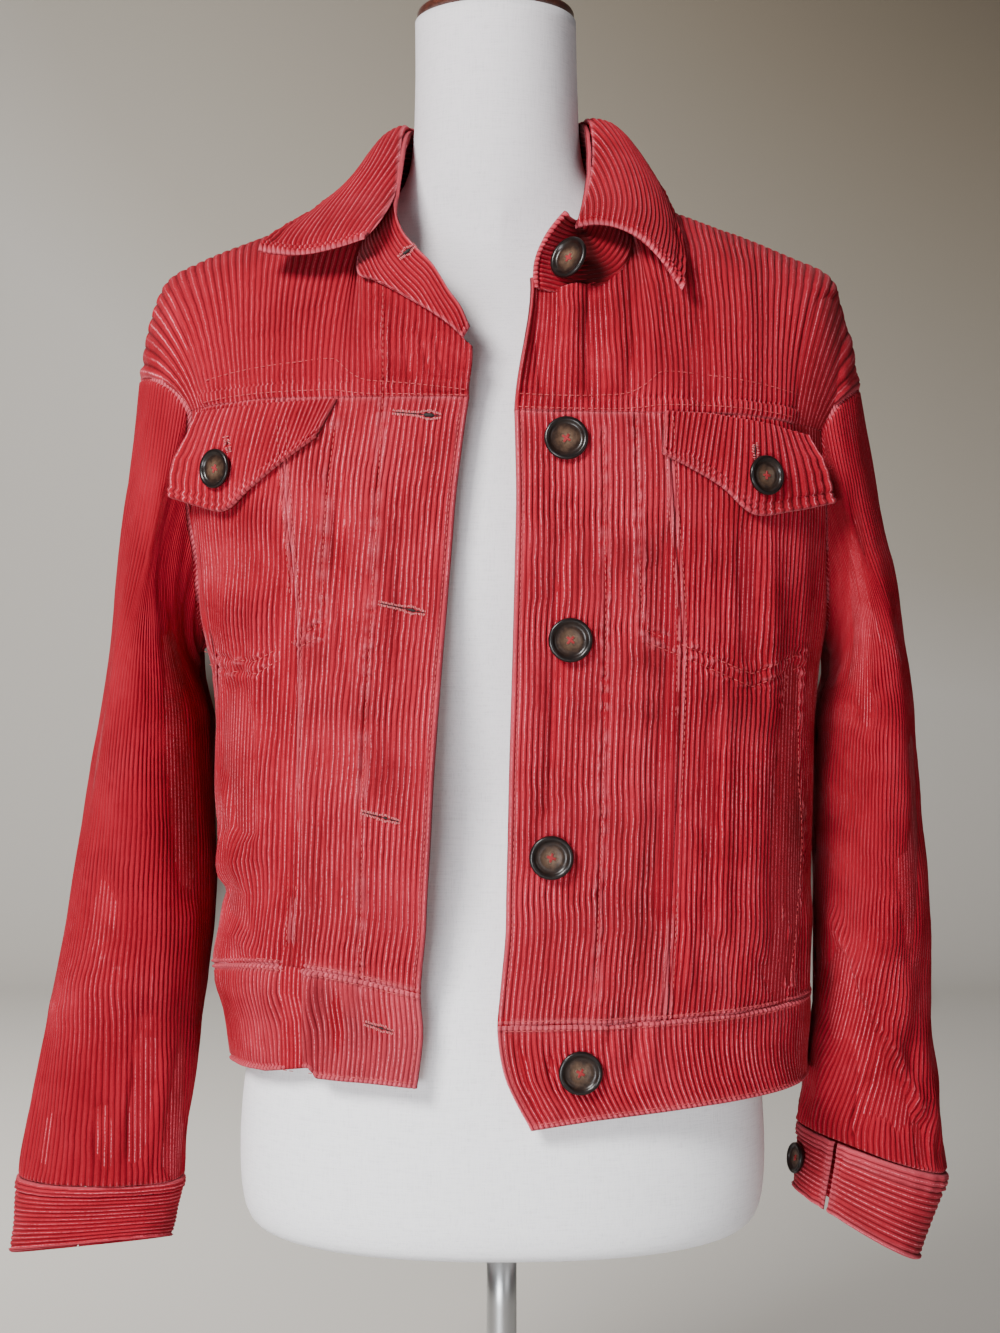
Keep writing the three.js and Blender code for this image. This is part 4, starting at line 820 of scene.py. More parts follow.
def cloth_height(p, s, along, distances, seed, fresh=0.0, folds=True):
    """Total height of the outer face over the plain form, and how worn it is (below 0 is fresh cloth)."""
    phase = np.mod(s / PITCH, 1.0)
    press = np.ones(s.shape)
    height = np.zeros(s.shape)
    wear_and_painted_light = np.zeros(s.shape)
    for d, kind in distances:
        finish = FINISH[kind]
        height = height - 0.9 * near(d, 0, 0.8)
        press = np.minimum(press, np.clip(0.35 + d / 1.5, 0.35, 1))
        wear_and_painted_light = np.maximum(wear_and_painted_light, 0.85 * np.exp(-np.maximum(d, 0) / 1.3))
        for first, last, high in finish["bands"]:
            height = height + high * bump(d, first, last)
            wear_and_painted_light = np.maximum(wear_and_painted_light, (0.5 if kind in ("cord", "seam") else 0.25) * bump(d, first, last))
        for place, deep in finish["rows"]:
            height = height - deep * near(d, place, 0.7)
            press = press * (1 - 0.4 * near(d, place, 0.6))
            height = height + 0.32 * ripple(along, s * 0.3, seed + 7, 7, 16, 6) * near(d, place, 5.0)
            wear_and_painted_light = np.maximum(wear_and_painted_light, 0.3 * near(d, place, 1.0))
    uneven = 1 + 0.08 * ripple(s, along * 0.35, seed + 3, 5, 25, 8)
    if folds:
        sewn = to_lines(p, SEWN)
        height = height + FOLD_DEPTH * (folds_at(p, FOLDS) + folds_at(p, FINE_FOLDS))
        height = height - 0.8 * near(sewn, 0, 1.0) + 0.35 * near(sewn, 2.6, 1.3)
        pucker = ripple(along, s * 0.4, seed + 11, 4.5, 10, 6)
        height = height + 0.6 * pucker * near(sewn, 0, 5.0)
        press = press * (1 - 0.45 * near(sewn, 0, 0.8))
        wear_and_painted_light = np.maximum(wear_and_painted_light, np.clip(0.22 + 0.3 * pucker, 0, 0.6) * near(sewn, 2.0, 1.4))
    height = height + RIB * press * uneven * rib_height(phase)
    height = height + 0.7 * ripple(s, along * 0.4, seed, 22, 70, 9)
    wear_and_painted_light = wear_and_painted_light - fresh * (1 - wear_and_painted_light)
    return height, wear_and_painted_light


def sway(outer, s, along, seed, distances):
    """Lets the ribs wander a little sideways, but not at the edges."""
    way = unit(np.gradient(outer, axis=1))
    free = np.ones(s.shape)
    for d, _ in distances:
        free = free * np.clip(d / 12, 0, 1)
    slow = 0.5 * ripple(along, s * 0.35, seed + 17, 28, 90, 8)
    quick = 0.18 * ripple(along, s * 0.9, seed + 19, 7, 15, 8)
    return outer + way * ((slow + quick) * free)[..., None]


# Materials


class Nodes:
    """Small helper to build a material's nodes."""

    def __init__(self, name):
        self.material = bpy.data.materials.new(name)
        self.material.use_nodes = True
        self.tree = self.material.node_tree
        self.tree.nodes.clear()
        self.shader = self.add("ShaderNodeBsdfPrincipled")
        output = self.add("ShaderNodeOutputMaterial")
        self.link(self.shader.outputs[0], output.inputs[0])

    def add(self, kind, **values):
        node = self.tree.nodes.new(kind)
        for name, value in values.items():
            setattr(node, name, value)
        return node

    def link(self, a, b):
        self.tree.links.new(a, b)

    def set(self, name, value):
        self.shader.inputs[name].default_value = value

    def math(self, operation, a, b=None, clamp=False):
        node = self.add("ShaderNodeMath", operation=operation, use_clamp=clamp)
        for i, value in enumerate((a, b)):
            if value is None:
                continue
            if isinstance(value, (int, float)):
                node.inputs[i].default_value = value
            else:
                self.link(value, node.inputs[i])
        return node.outputs[0]

    def noise(self, vector, scale, detail=2.0, rough=0.5):
        node = self.add("ShaderNodeTexNoise")
        node.inputs["Scale"].default_value = scale
        node.inputs["Detail"].default_value = detail
        node.inputs["Roughness"].default_value = rough
        self.link(vector, node.inputs["Vector"])
        return node.outputs["Fac"]

    def ramp(self, value, stops):
        node = self.add("ShaderNodeValToRGB")
        ramp = node.color_ramp
        while len(ramp.elements) < len(stops):
            ramp.elements.new(0.5)
        for element, (place, colour) in zip(ramp.elements, stops):
            element.position = place
            element.color = (*colour, 1.0)
        self.link(value, node.inputs[0])
        return node.outputs[0]

    def mix(self, factor, a, b):
        node = self.add("ShaderNodeMix", data_type="RGBA")
        for value, socket in ((factor, node.inputs[0]), (a, node.inputs[6]), (b, node.inputs[7])):
            if isinstance(value, (int, float)):
                socket.default_value = value
            elif isinstance(value, tuple):
                socket.default_value = (*value, 1.0)
            else:
                self.link(value, socket)
        return node.outputs[2]

    def multiply(self, a, b):
        colour = self.mix(1.0, a, b)
        colour.node.blend_type = "MULTIPLY"
        return colour

    def scaled(self, vector, x, y, z=1.0):
        node = self.add("ShaderNodeMapping")
        node.inputs["Scale"].default_value = (x, y, z)
        self.link(vector, node.inputs["Vector"])
        return node.outputs[0]

    def bump(self, height, strength, distance):
        node = self.add("ShaderNodeBump")
        node.inputs["Strength"].default_value = strength
        node.inputs["Distance"].default_value = distance
        self.link(height, node.inputs["Height"])
        self.link(node.outputs[0], self.shader.inputs["Normal"])


def corduroy_material():
    """Red ribs with a thin line near each crown that is partly worn and partly painted highlight, painted
    shade in the grooves and in a few hollows and slits, and rubbed seams.
    """
    n = Nodes("corduroy")
    uv = n.add("ShaderNodeUVMap", uv_map="cloth").outputs[0]
    parts = n.add("ShaderNodeSeparateXYZ")
    n.link(uv, parts.inputs[0])
    wear_and_painted_light = n.add("ShaderNodeAttribute", attribute_name="wear_and_painted_light").outputs["Fac"]
    # nap: fine tufts along each rib, streaks that follow a few ribs, and large patches
    tufts = n.noise(n.scaled(uv, 7.0, 3.6), 1.0, 3.0, 0.6)
    streaks = n.noise(n.scaled(uv, 0.85, 0.06), 1.0, 3.0, 0.6)
    patches = n.noise(n.scaled(uv, 0.07, 0.05), 1.0, 4.0, 0.62)
    wander = n.noise(n.scaled(uv, 0.3, 0.5), 1.0, 2.0, 0.6)
    phase = n.math("FRACT", parts.outputs[0])
    reds = [(0.34, (0.20, 0.004, 0.011)), (0.5, (0.32, 0.008, 0.021)), (0.68, (0.42, 0.020, 0.040))]
    base = n.ramp(patches, reds)
    base = n.mix(n.math("MULTIPLY", tufts, 0.5), base, (0.30, 0.006, 0.012))
    # line near the crown, partly worn and partly painted highlight, broken and beaded along its length
    middle = n.math("ADD", 0.36, n.math("MULTIPLY", wander, 0.2))
    away = n.math("ABSOLUTE", n.math("SUBTRACT", phase, middle))
    line = n.math("SUBTRACT", 1.0, n.math("MULTIPLY", away, 9.5), True)
    broken = n.ramp(streaks, [(0.38, (0.12, 0.12, 0.12)), (0.58, (1.0, 1.0, 1.0))])
    bead_noise = n.noise(n.scaled(uv, 1.2, 2.3), 1.0, 2.0, 0.6)
    beads = n.ramp(bead_noise, [(0.38, (0.25, 0.25, 0.25)), (0.58, (1.0, 1.0, 1.0))])
    pale = n.math("MULTIPLY", n.math("MULTIPLY", line, broken), beads)
    kept = n.math("ADD", 1.0, n.math("MINIMUM", wear_and_painted_light, 0.0), True)
    rough = n.math("ADD", 0.2, n.math("MULTIPLY", tufts, 0.9))
    # rubbed seams and creases, and the painted highlight along a sleeve fold's ridge
    rubbed_and_painted_highlight = n.math("MULTIPLY", n.math("MAXIMUM", wear_and_painted_light, 0.0), rough)
    pale = n.math("MULTIPLY", pale, kept)
    pale = n.math("MAXIMUM", n.math("MULTIPLY", pale, 0.85), n.math("MULTIPLY", rubbed_and_painted_highlight, 0.6))
    base = n.mix(n.math("MULTIPLY", n.math("SUBTRACT", 1.0, kept), 0.6), base, (0.26, 0.005, 0.015))
    colour = n.mix(pale, base, (1.0, 0.265, 0.335))
    # painted shade in the grooves between the ribs
    groove_shade = n.ramp(phase, [(0.0, (1, 1, 1)), (0.17, (0, 0, 0)), (0.8, (0, 0, 0)), (1.0, (1, 1, 1))])
    colour = n.mix(n.math("MULTIPLY", groove_shade, 0.85), colour, (0.07, 0.0015, 0.004))
    # painted shade where the value is below -1: the hollow behind the collar stand's rolled end and the slit
    # above the wearer's left cuff
    painted_shade = n.math("MULTIPLY", n.math("SUBTRACT", -1.0, wear_and_painted_light), 0.9, True)
    colour = n.mix(painted_shade, colour, (0.05, 0.003, 0.004))
    n.link(colour, n.shader.inputs["Base Color"])
    n.set("Roughness", 0.9)
    n.set("Specular IOR Level", 0.08)
    n.set("Sheen Weight", 0.12)
    n.set("Sheen Roughness", 0.4)
    n.set("Sheen Tint", (1.0, 0.45, 0.48, 1.0))
    n.bump(n.math("ADD", tufts, n.math("MULTIPLY", beads, 0.4)), 0.7, 0.0005)
    return n.material


def thread_material(name, colour):
    n = Nodes(name)
    n.set("Base Color", (*colour, 1.0))
    n.set("Roughness", 0.75)
    return n.material


def horn_material():
    """Dark brown horn, paler and marbled in the middle."""
    n = Nodes("horn")
    where = n.add("ShaderNodeTexCoord").outputs["UV"]
    parts = n.add("ShaderNodeSeparateXYZ")
    n.link(where, parts.inputs[0])
    radius = parts.outputs[0]
    marble = n.noise(n.add("ShaderNodeTexCoord").outputs["Object"], 260.0, 5.0, 0.62)
    fine = n.noise(n.add("ShaderNodeTexCoord").outputs["Object"], 900.0, 3.0, 0.6)
    ring = n.math("ADD", radius, n.math("MULTIPLY", n.math("SUBTRACT", marble, 0.5), 0.75))
    browns = [
        (0.0, (0.20, 0.125, 0.08)),
        (0.32, (0.085, 0.048, 0.030)),
        (0.6, (0.020, 0.010, 0.007)),
        (0.85, (0.006, 0.004, 0.004)),
    ]
    colour = n.ramp(ring, browns)
    colour = n.mix(n.math("MULTIPLY", fine, 0.25), colour, (0.02, 0.012, 0.01))
    n.link(colour, n.shader.inputs["Base Color"])
    n.set("Roughness", 0.3)
    n.set("Specular IOR Level", 0.3)
    n.set("Coat Weight", 0.15)
    n.set("Coat Roughness", 0.15)
    n.bump(fine, 0.12, 0.0002)
    return n.material


def canvas_material():
    """Off-white linen, plain weave, with painted shade darker towards the top."""
    n = Nodes("canvas")
    where = n.add("ShaderNodeTexCoord").outputs["Object"]
    weft = n.noise(n.scaled(where, 90.0, 90.0, 1500.0), 1.0, 2.0, 0.6)
    warp = n.noise(n.scaled(where, 1500.0, 1500.0, 90.0), 1.0, 2.0, 0.6)
    slubs = n.math("ADD", weft, warp)
    whites = [(0.3, (0.80, 0.80, 0.83)), (0.5, (0.95, 0.95, 0.985)), (0.75, (0.98, 0.985, 1.0))]
    colour = n.ramp(n.math("MULTIPLY", slubs, 0.5), whites)
    level = n.add("ShaderNodeSeparateXYZ")
    n.link(where, level.inputs[0])
    # painted shade, darker towards the top of the form
    top_shade = n.ramp(level.outputs[2], [(0.38, (1.0, 1.0, 1.0)), (0.85, (0.77, 0.735, 0.74))])
    colour = n.multiply(colour, top_shade)
    n.link(colour, n.shader.inputs["Base Color"])
    n.set("Roughness", 0.9)
    n.set("Specular IOR Level", 0.2)
    n.bump(slubs, 0.35, 0.0004)
    return n.material


def wood_material():
    """Dark red-brown turned wood."""
    n = Nodes("wood")
    where = n.add("ShaderNodeTexCoord").outputs["Object"]
    grain = n.noise(n.scaled(where, 25.0, 420.0, 420.0), 1.0, 4.0, 0.6)
    colour = n.ramp(grain, [(0.3, (0.035, 0.010, 0.007)), (0.7, (0.11, 0.032, 0.02))])
    n.link(colour, n.shader.inputs["Base Color"])
    n.set("Roughness", 0.32)
    n.set("Coat Weight", 0.3)
    n.bump(grain, 0.15, 0.0003)
    return n.material


def metal_material():
    n = Nodes("metal")
    where = n.add("ShaderNodeTexCoord").outputs["Object"]
    brushed = n.noise(n.scaled(where, 40.0, 40.0, 900.0), 1.0, 2.0, 0.6)
    n.set("Base Color", (0.52, 0.53, 0.54, 1.0))
    n.set("Metallic", 1.0)
    n.set("Roughness", 0.34)
    n.bump(brushed, 0.05, 0.0002)
    return n.material


CORDUROY = corduroy_material()
THREAD = thread_material("thread", (0.50, 0.055, 0.065))
PALE_THREAD = thread_material("pale_thread", (0.60, 0.15, 0.16))
# near-black painted shade inside the buttons' holes and along the buttonholes' slits
HOLE_SHADE = thread_material("hole", (0.008, 0.005, 0.005))
BUTTON_THREAD = thread_material("button_thread", (0.26, 0.012, 0.016))
HORN = horn_material()
CANVAS = canvas_material()
WOOD = wood_material()
METAL = metal_material()


# Jacket


FRONT_POINTS = []
FRONT_NORMALS = []


def remember(outer, normal):
    front = outer[..., 1] < NEAR_SIDE_Y
    FRONT_POINTS.append(outer[front])
    FRONT_NORMALS.append(normal[front])


def make_cloth(
    node,
    base,
    normal,
    s,
    along,
    lists,
    seed,
    raised,
    lift=0.0,
    sink=SINK,
    thick=CLOTH,
    wanders=True,
    sewn=True,
):
    """Closed sheet over one solid. raised holds the height of its outer face and how worn it is, with painted
    shade and painted highlight added on some pieces.
    """
    height, wear_and_painted_light = raised
    outer = base + normal * (height + lift - sink)[..., None]
    if wanders:
        outer = sway(outer, s, along, seed, lists)
    if sewn:
        remember(outer, normal)
    uv = np.stack([s / PITCH, along / PITCH], -1)
    obj = shell(f"{node}_cloth", outer, base, normal, thick, uv, wear_and_painted_light)
    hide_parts(node)


def middle_axis(z):
    return vec(np.zeros(z.shape), np.zeros(z.shape), z)


def heights_between(points):
    """Lengths of a grid's columns, measured over the cloth."""
    return np.linalg.norm(np.diff(points, axis=0), axis=-1).sum(0)


def body_panel(node, side, s_from, s_to, distances, seed, fresh):
    """Panel of the body. s_from and s_to give its long edges, as lengths from the front edge, by height."""
    heights = np.linspace(360, 830, 60)
    s_line = rib_places(float(np.min(s_from(heights))), float(np.max(s_to(heights))))
    shares = np.linspace(0, 1, 50)
    tall = float(np.max(panel_top(side, shares) - WAIST(side, shares)))
    v_line = np.union1d(dense_places(tall, ALONG), np.linspace(0.5, 0.65, 26))
    s, v = np.meshgrid(s_line, v_line)
    z = np.full(s.shape, 600.0)
    for _ in range(5):
        kept = np.clip(s, s_from(z), s_to(z))
        q = kept / ring_length(side, z)
        z = mix(WAIST(side, q) - 0.5, panel_top(side, q) - 0.05, v)
    kept = np.clip(s, s_from(z), s_to(z))
    q = kept / ring_length(side, z)
    base = body_at(side, q, z)
    lists = distances(kept, z)
    lists += [(z - WAIST(side, q), "seam"), (panel_top(side, q) - z, "plain")]
    raised = cloth_height(base, kept, z, lists, seed, fresh)
    make_cloth(node, base, grid_normals(base, middle_axis(z)), kept, z, lists, seed, raised)


def build_fronts():
    for number, side in enumerate(SIDES):

        def seam(z, side=side):
            return panel_seam(side, z) * ring_length(side, z)

        def foot(z, side=side):
            return ARMHOLES[side][1] * ring_length(side, z)

        body_panel(
            f"front_centre_{side}",
            side,
            lambda z: np.zeros(np.shape(z)),
            seam,
            lambda s, z, seam=seam: [(s, "edge"), (seam(z) - s, "cord")],
            11 + number,
            -0.05,
        )
        body_panel(
            f"front_side_{side}",
            side,
            lambda z, seam=seam: seam(z) + 0.3,
            lambda z, foot=foot: foot(z) - 0.2,
            lambda s, z, seam=seam, foot=foot: [(s - seam(z), "seam"), (foot(z) - s, "plain")],
            21 + number,
            0.3,
        )


def joined(right, left):
    """Two half grids side by side; they share the middle of the back."""
    return np.concatenate([right, left[:, ::-1][:, 1:]], 1)


def mirrored_back(node, half, seed, fresh=lambda s: 0.4):
    """A piece across the back, made of a right and a left half."""
    base_r, s_r, along_r, lists_r = half("right")
    base_l, s_l, along_l, lists_l = half("left")
    base, s, along = joined(base_r, base_l), joined(s_r, -s_l), joined(along_r, along_l)
    lists = [(joined(a, b), kind) for (a, kind), (b, _) in zip(lists_r, lists_l)]
    normal = grid_normals(base, middle_axis(np.minimum(base[..., 2], 780)))
    raised = cloth_height(base, s, along, lists, seed, fresh(s))
    make_cloth(node, base, normal, s, along, lists, seed, raised)


def build_back():
    def panel_half(side):
        foot = ARMHOLES[side][1]
        width = (1 - foot) * HALF_AROUND
        t_line = rib_places(0.0, width, ACROSS_FEWER)[::-1] / width
        v_line = dense_places(345, 8.5, SHORT_MARKS)
        t, v = np.meshgrid(t_line, v_line)
        q = 1 - (1 - foot) * t * 0.9985
        z = mix(WAIST(side, q) - 0.4, panel_top(side, q) - 0.05, v)
        base = body_at(side, q, z)
        s = t * width
        lists = [((1 - t) * width, "seam"), (z - WAIST(side, q), "seam"), (panel_top(side, q) - z, "plain")]
        return base, s, z, lists

    mirrored_back("back_panel", panel_half, 31)

    def yoke_half(side):
        back = ARMHOLES[side][2]
        width = (1 - back) * HALF_AROUND
        u_line = rib_places(0.0, width, ACROSS_FEWER)[::-1] / width
        v_line = dense_places(BACK_YOKE_RISE, 6.0)
        u, v = np.meshgrid(u_line, v_line)
        base = yoke_at(side, "back", u, mix(-0.003, 0.998, v))
        tall = heights_between(base)[None, :]
        lists = [(v * tall, "band"), ((1 - v) * tall, "seam"), ((1 - u) * width, "seam")]
        return base, u * width, v * BACK_YOKE_RISE, lists

    mirrored_back("back_yoke", yoke_half, 33)


def build_front_yokes():
    for number, side in enumerate(SIDES):
        front = ARMHOLES[side][0]
        width = front * float(ring_length(side, 785.0))
        u_line = rib_places(0.0, width) / width
        v_line = dense_places(145, 4.0)
        u, v = np.meshgrid(u_line, v_line)
        # the top runs on under the collar stand
        reach = 1.004 + (0.071 if side == "left" else 0.016) * np.clip((0.44 - u) / 0.06, 0, 1)
        base = yoke_at(side, "front", u, mix(-0.005, reach, v))
        tall = heights_between(base)[None, :]
        normal = grid_normals(base, middle_axis(np.full(u.shape, 780.0)))
        s, along = u * width, v * FRONT_YOKE_RISE
        lists = [(s, "edge"), (v * tall, "band"), ((1 - v) * tall, "plain"), ((1 - u) * width, "seam")]
        seed = 41 + number
        raised = cloth_height(base, s, along, lists, seed, 0.65 - 0.15 * number)
        make_cloth(f"front_yoke_{side}", base, normal, s, along, lists, seed, raised)


def build_waistband():
    def half(side):
        total = 455.0 if side == "right" else 480.0
        t_line = rib_places(0.0, total)[::-1] / total
        v_line = dense_places(56, 5.0, SHORT_MARKS)
        t, v = np.meshgrid(t_line, v_line)
        q = 1 - t
        low, high = HEM(side, q), WAIST(side, q) - 0.3
        if side == "right":
            # the end of the band hangs lower than the part that follows it
            low = low + 6.0 * np.clip((0.25 - q) / 0.085, 0, 1) * np.clip((q - 0.153) / 0.01, 0, 1)
        z = mix(low, high, v)
        base = body_at(side, q, z)
        return base, t * total, z, [((1 - t) * total, "edge"), (z - low, "cord"), (high - z, "cord")]

    def fresh(s):
        return 0.25 - 0.6 * np.clip(s / 300 - 0.6, 0, 1) - 0.3 * np.clip(-s / 300 - 0.6, 0, 1)

    mirrored_back("waistband", half, 51, fresh)


# Folds of the sleeves: share around, share down, their half widths in the same shares, and height
SLEEVE_FOLDS = {
    "right": [
        (0.2, 0.72, 0.1, 0.026, 2.4), (0.3, 0.77, 0.1, 0.026, -1.5),
        (0.12, 0.76, 0.08, 0.018, 2.0), (0.42, 0.93, 0.03, 0.09, -5.0),
        (0.33, 0.95, 0.022, 0.08, 2.5), (0.37, 0.97, 0.012, 0.06, -2.5),
        (0.14, 0.94, 0.02, 0.07, -2.5), (0.19, 0.95, 0.018, 0.06, 1.8),
        (0.25, 0.95, 0.015, 0.05, -1.6), (0.1, 0.35, 0.05, 0.12, -3.0),
        (0.7, 0.74, 0.09, 0.03, -3.0), (0.22, 0.62, 0.05, 0.05, -1.6),
        (0.3, 0.55, 0.05, 0.08, 1.6),
    ],
    "left": [
        (0.27, 0.7, 0.04, 0.05, 4.0), (0.2, 0.78, 0.04, 0.05, 4.0),
        (0.36, 0.74, 0.035, 0.08, -5.0), (0.1, 0.86, 0.04, 0.06, 3.0),
        (0.15, 0.9, 0.02, 0.06, -2.4), (0.24, 0.9, 0.02, 0.06, -2.4),
        (0.12, 0.4, 0.04, 0.12, -3.0), (0.7, 0.75, 0.09, 0.04, -3.0), (0.07, 0.62, 0.03, 0.1, 1.8),
        (0.16, 0.58, 0.03, 0.08, -1.8),
    ],
}


# Folds of the sleeves' fronts, like FOLDS
SLEEVE_PICTURE = {
    "right": [
        (148, 1045, 136, 1165, 8, -7.0), (162, 1050, 154, 1165, 6, 2.5),
        (131, 1060, 120, 1160, 5, 2.5), (104, 1110, 108, 1180, 5, -3.6),
        (86, 1120, 88, 1180, 4, 2.0), (62, 1125, 60, 1178, 4, -2.2),
        (178, 1120, 176, 1180, 4, -3.0), (90, 950, 152, 974, 2.2, 1.1),
        (170, 640, 190, 900, 9, -3.0), (120, 500, 108, 800, 12, 1.6),
    ],
    "left": [
        (832, 915, 866, 1000, 3.5, 3.8), (866, 1000, 902, 1062, 3.5, 3.8),
        (902, 1062, 922, 1120, 3.5, 3.0), (838, 960, 872, 1060, 9, -4.0),
        (872, 1060, 895, 1130, 8, -3.0), (861, 1012, 863, 1084, 2.2, -3.6),
        (863, 1084, 853, 1134, 2.2, -3.6), (905, 860, 912, 980, 6, -2.0),
        (880, 560, 900, 800, 10, 1.8), (855, 500, 868, 760, 8, -2.4),
        (925, 1090, 940, 1150, 4, 2.2), (912, 1110, 925, 1165, 3, -2.2),
        (820, 1020, 826, 1110, 6, 1.8),
    ],
}


# Slit above the wearer's left cuff, in photo pixels, with painted shade along it
SLEEVE_SLITS = {"right": [], "left": [[(861, 1012), (863, 1084), (852, 1138)]]}


# Pale lines of the sleeves' fronts, in photo pixels: rubbed creases, and on the wearer's left sleeve a
# painted highlight along a fold's ridge
SLEEVE_CREASES = {
    "right": [
        [(67, 923), (100, 930), (147, 926)],
        [(88, 944), (100, 957), (118, 968), (150, 974)],
        [(48, 1004), (62, 1013), (84, 1018)],
        [(100, 912), (112, 918), (120, 908)],
    ],
    "left": [
        [(835, 925), (866, 1000), (896, 1056), (920, 1110)],
        [(868, 600), (880, 640), (900, 660)],
    ],
}


def sleeve_fold(side, share, v):
    total = np.zeros(share.shape)
    for place, down, half_share, half_down, high in SLEEVE_FOLDS[side]:
        across = np.abs(np.mod(share - place + 0.5, 1.0) - 0.5) / half_share
        total += high * np.exp(-(across**2) - ((v - down) / half_down) ** 2)
    gathers = 0.9 * np.sin(share * 2 * np.pi * 15 + 2.0 * np.sin(share * 9)) * near(v, 1.0, 0.1)
    return (total + gathers) * np.clip((1 - v) / 0.025, 0, 1)


def build_sleeves():
    for number, side in enumerate(SIDES):
        v_line = dense_places(500, 6.2, SHORT_MARKS)
        v_line = np.concatenate([[-0.012, -0.006], v_line])
        coarse = sleeve_at(side, np.linspace(0, 1, 361)[None, :], v_line[:, None])
        around = np.linalg.norm(np.diff(coarse, axis=1), axis=-1).sum(1)
        half = float(around.max()) / 2
        s_line = rib_places(-half, half, ACROSS_FEWER)
        s, v = np.meshgrid(s_line, v_line)
        limit = (around / 2)[:, None]
        kept = np.clip(s, -limit, limit)
        share = kept / (2 * limit)
        base = sleeve_at(side, share, v)
        middle = sum(sleeve_at(side, np.full(v_line.shape, k), v_line) for k in QUARTERS) / 4
        normal = grid_normals(base, middle[:, None, :])
        run = v * SLEEVE_RUN
        lists = [(run, "plain"), ((1 - v) * SLEEVE_RUN, "plain")]
        seed = 61 + number
        fresh = 0.75 + 0.2 * (side == "right")
        height, wear_and_painted_light = cloth_height(base, kept, run, lists, seed, fresh, folds=False)
        height = height + sleeve_fold(side, np.mod(share, 1.0), v)
        height = height + FOLD_DEPTH * folds_at(base, SLEEVE_PICTURE[side])
        elbow = 0.45 * near(v, 0.74, 0.07) * near(np.mod(share, 1.0), 0.22, 0.14)
        wear_and_painted_light = wear_and_painted_light + 1.1 * elbow
        # rubbed creases, and a painted highlight along a fold's ridge on the wearer's left sleeve
        wear_and_painted_light = mix(wear_and_painted_light, 0.3, near(to_lines(base, SLEEVE_CREASES[side]), 0, 1.1))
        # painted shade along the slit
        wear_and_painted_light = mix(wear_and_painted_light, -1.8, near(to_lines(base, SLEEVE_SLITS[side]), 0, 0.9))
        raised = (height, wear_and_painted_light)
        make_cloth(f"sleeve_{side}", base, normal, kept, run, lists, seed, raised, sewn=False)


def cuff_at(side, share, drop):
    top, foot = CUFF[side]
    return mix(ring_point(side, top, share), ring_point(side, foot, share), np.asarray(drop)[..., None])


def cuff_middle(side):
    return cuff_at(side, np.array(QUARTERS), np.full(4, 0.5)).mean(0)


def build_cuffs():
    for number, side in enumerate(SIDES):
        start, end = CUFF_OPEN[side]
        tall, around = CUFF_TALL[side], CUFF_AROUND
        d_line = rib_places(0.0, tall) / tall
        w_line = dense_places(around, 3.0)
        w, drop = np.meshgrid(w_line, d_line)
        share = end + (1 - (end - start)) * w
        base = cuff_at(side, share, drop)
        middle = cuff_middle(side)
        normal = grid_normals(base, vec(middle[0], middle[1], base[..., 2]))
        s, along = drop * tall, w * around
        lists = [(s, "band"), (tall - s, "cord"), (along, "edge"), ((1 - w) * around, "edge")]
        seed = 71 + number
        make_cloth(
            f"cuff_{side}",
            base,
            normal,
            s,
            along,
            lists,
            seed,
            cloth_height(base, s, along, lists, seed, 0.3 - 0.4 * number, folds=False),
            lift=0.4,
            wanders=False,
            sewn=False,
        )


def stand_at(s, w):
    low = vec(STAND("x", s), STAND("y", s), STAND("z", s))
    top = vec(STAND("topX", s), STAND("topY", s), STAND("topZ", s))
    p = mix(low, top, w[..., None])
    # the wearer's left end bows out, and its edge rolls forward with a hollow behind it
    roll = np.exp(-(((21 - s) / 0.5) ** 2))
    p[..., 0] -= 5.5 * 4 * w * (1 - w) * np.exp(-(((21 - s) / 0.9) ** 2))
    p[..., 1] -= STAND_ROLL * roll * np.clip(w + 0.25, 0, 1)
    p[..., 1] += 4.0 * np.exp(-(((19.6 - s) / 0.7) ** 2))
    return p


def leaf_at(s, w):
    fold = vec(LEAF("x", s), LEAF("y", s), LEAF("z", s))
    edge = vec(LEAF("edgeX", s), LEAF("edgeY", s), LEAF("edgeZ", s))
    p = mix(fold, edge, w[..., None])
    arch = 4 * w * (1 - w)
    full = LEAF("full", s) * arch * (1 + 0.6 * (1 - w))
    away = unit(vec(p[..., 0], p[..., 1] * 0.6, np.zeros(s.shape)))
    p = p + away * (full * 0.6)[..., None]
    p[..., 2] += full * 0.8 - LEAF("sag", s) * arch
    p[..., 1] -= np.abs(LEAF("sag", s)) * 0.25 * arch
    return p


def lengths_along(surface, places, w):
    points = surface(places, np.full(places.shape, w))
    return np.append(0, np.cumsum(np.linalg.norm(np.diff(points, axis=0), axis=1)))


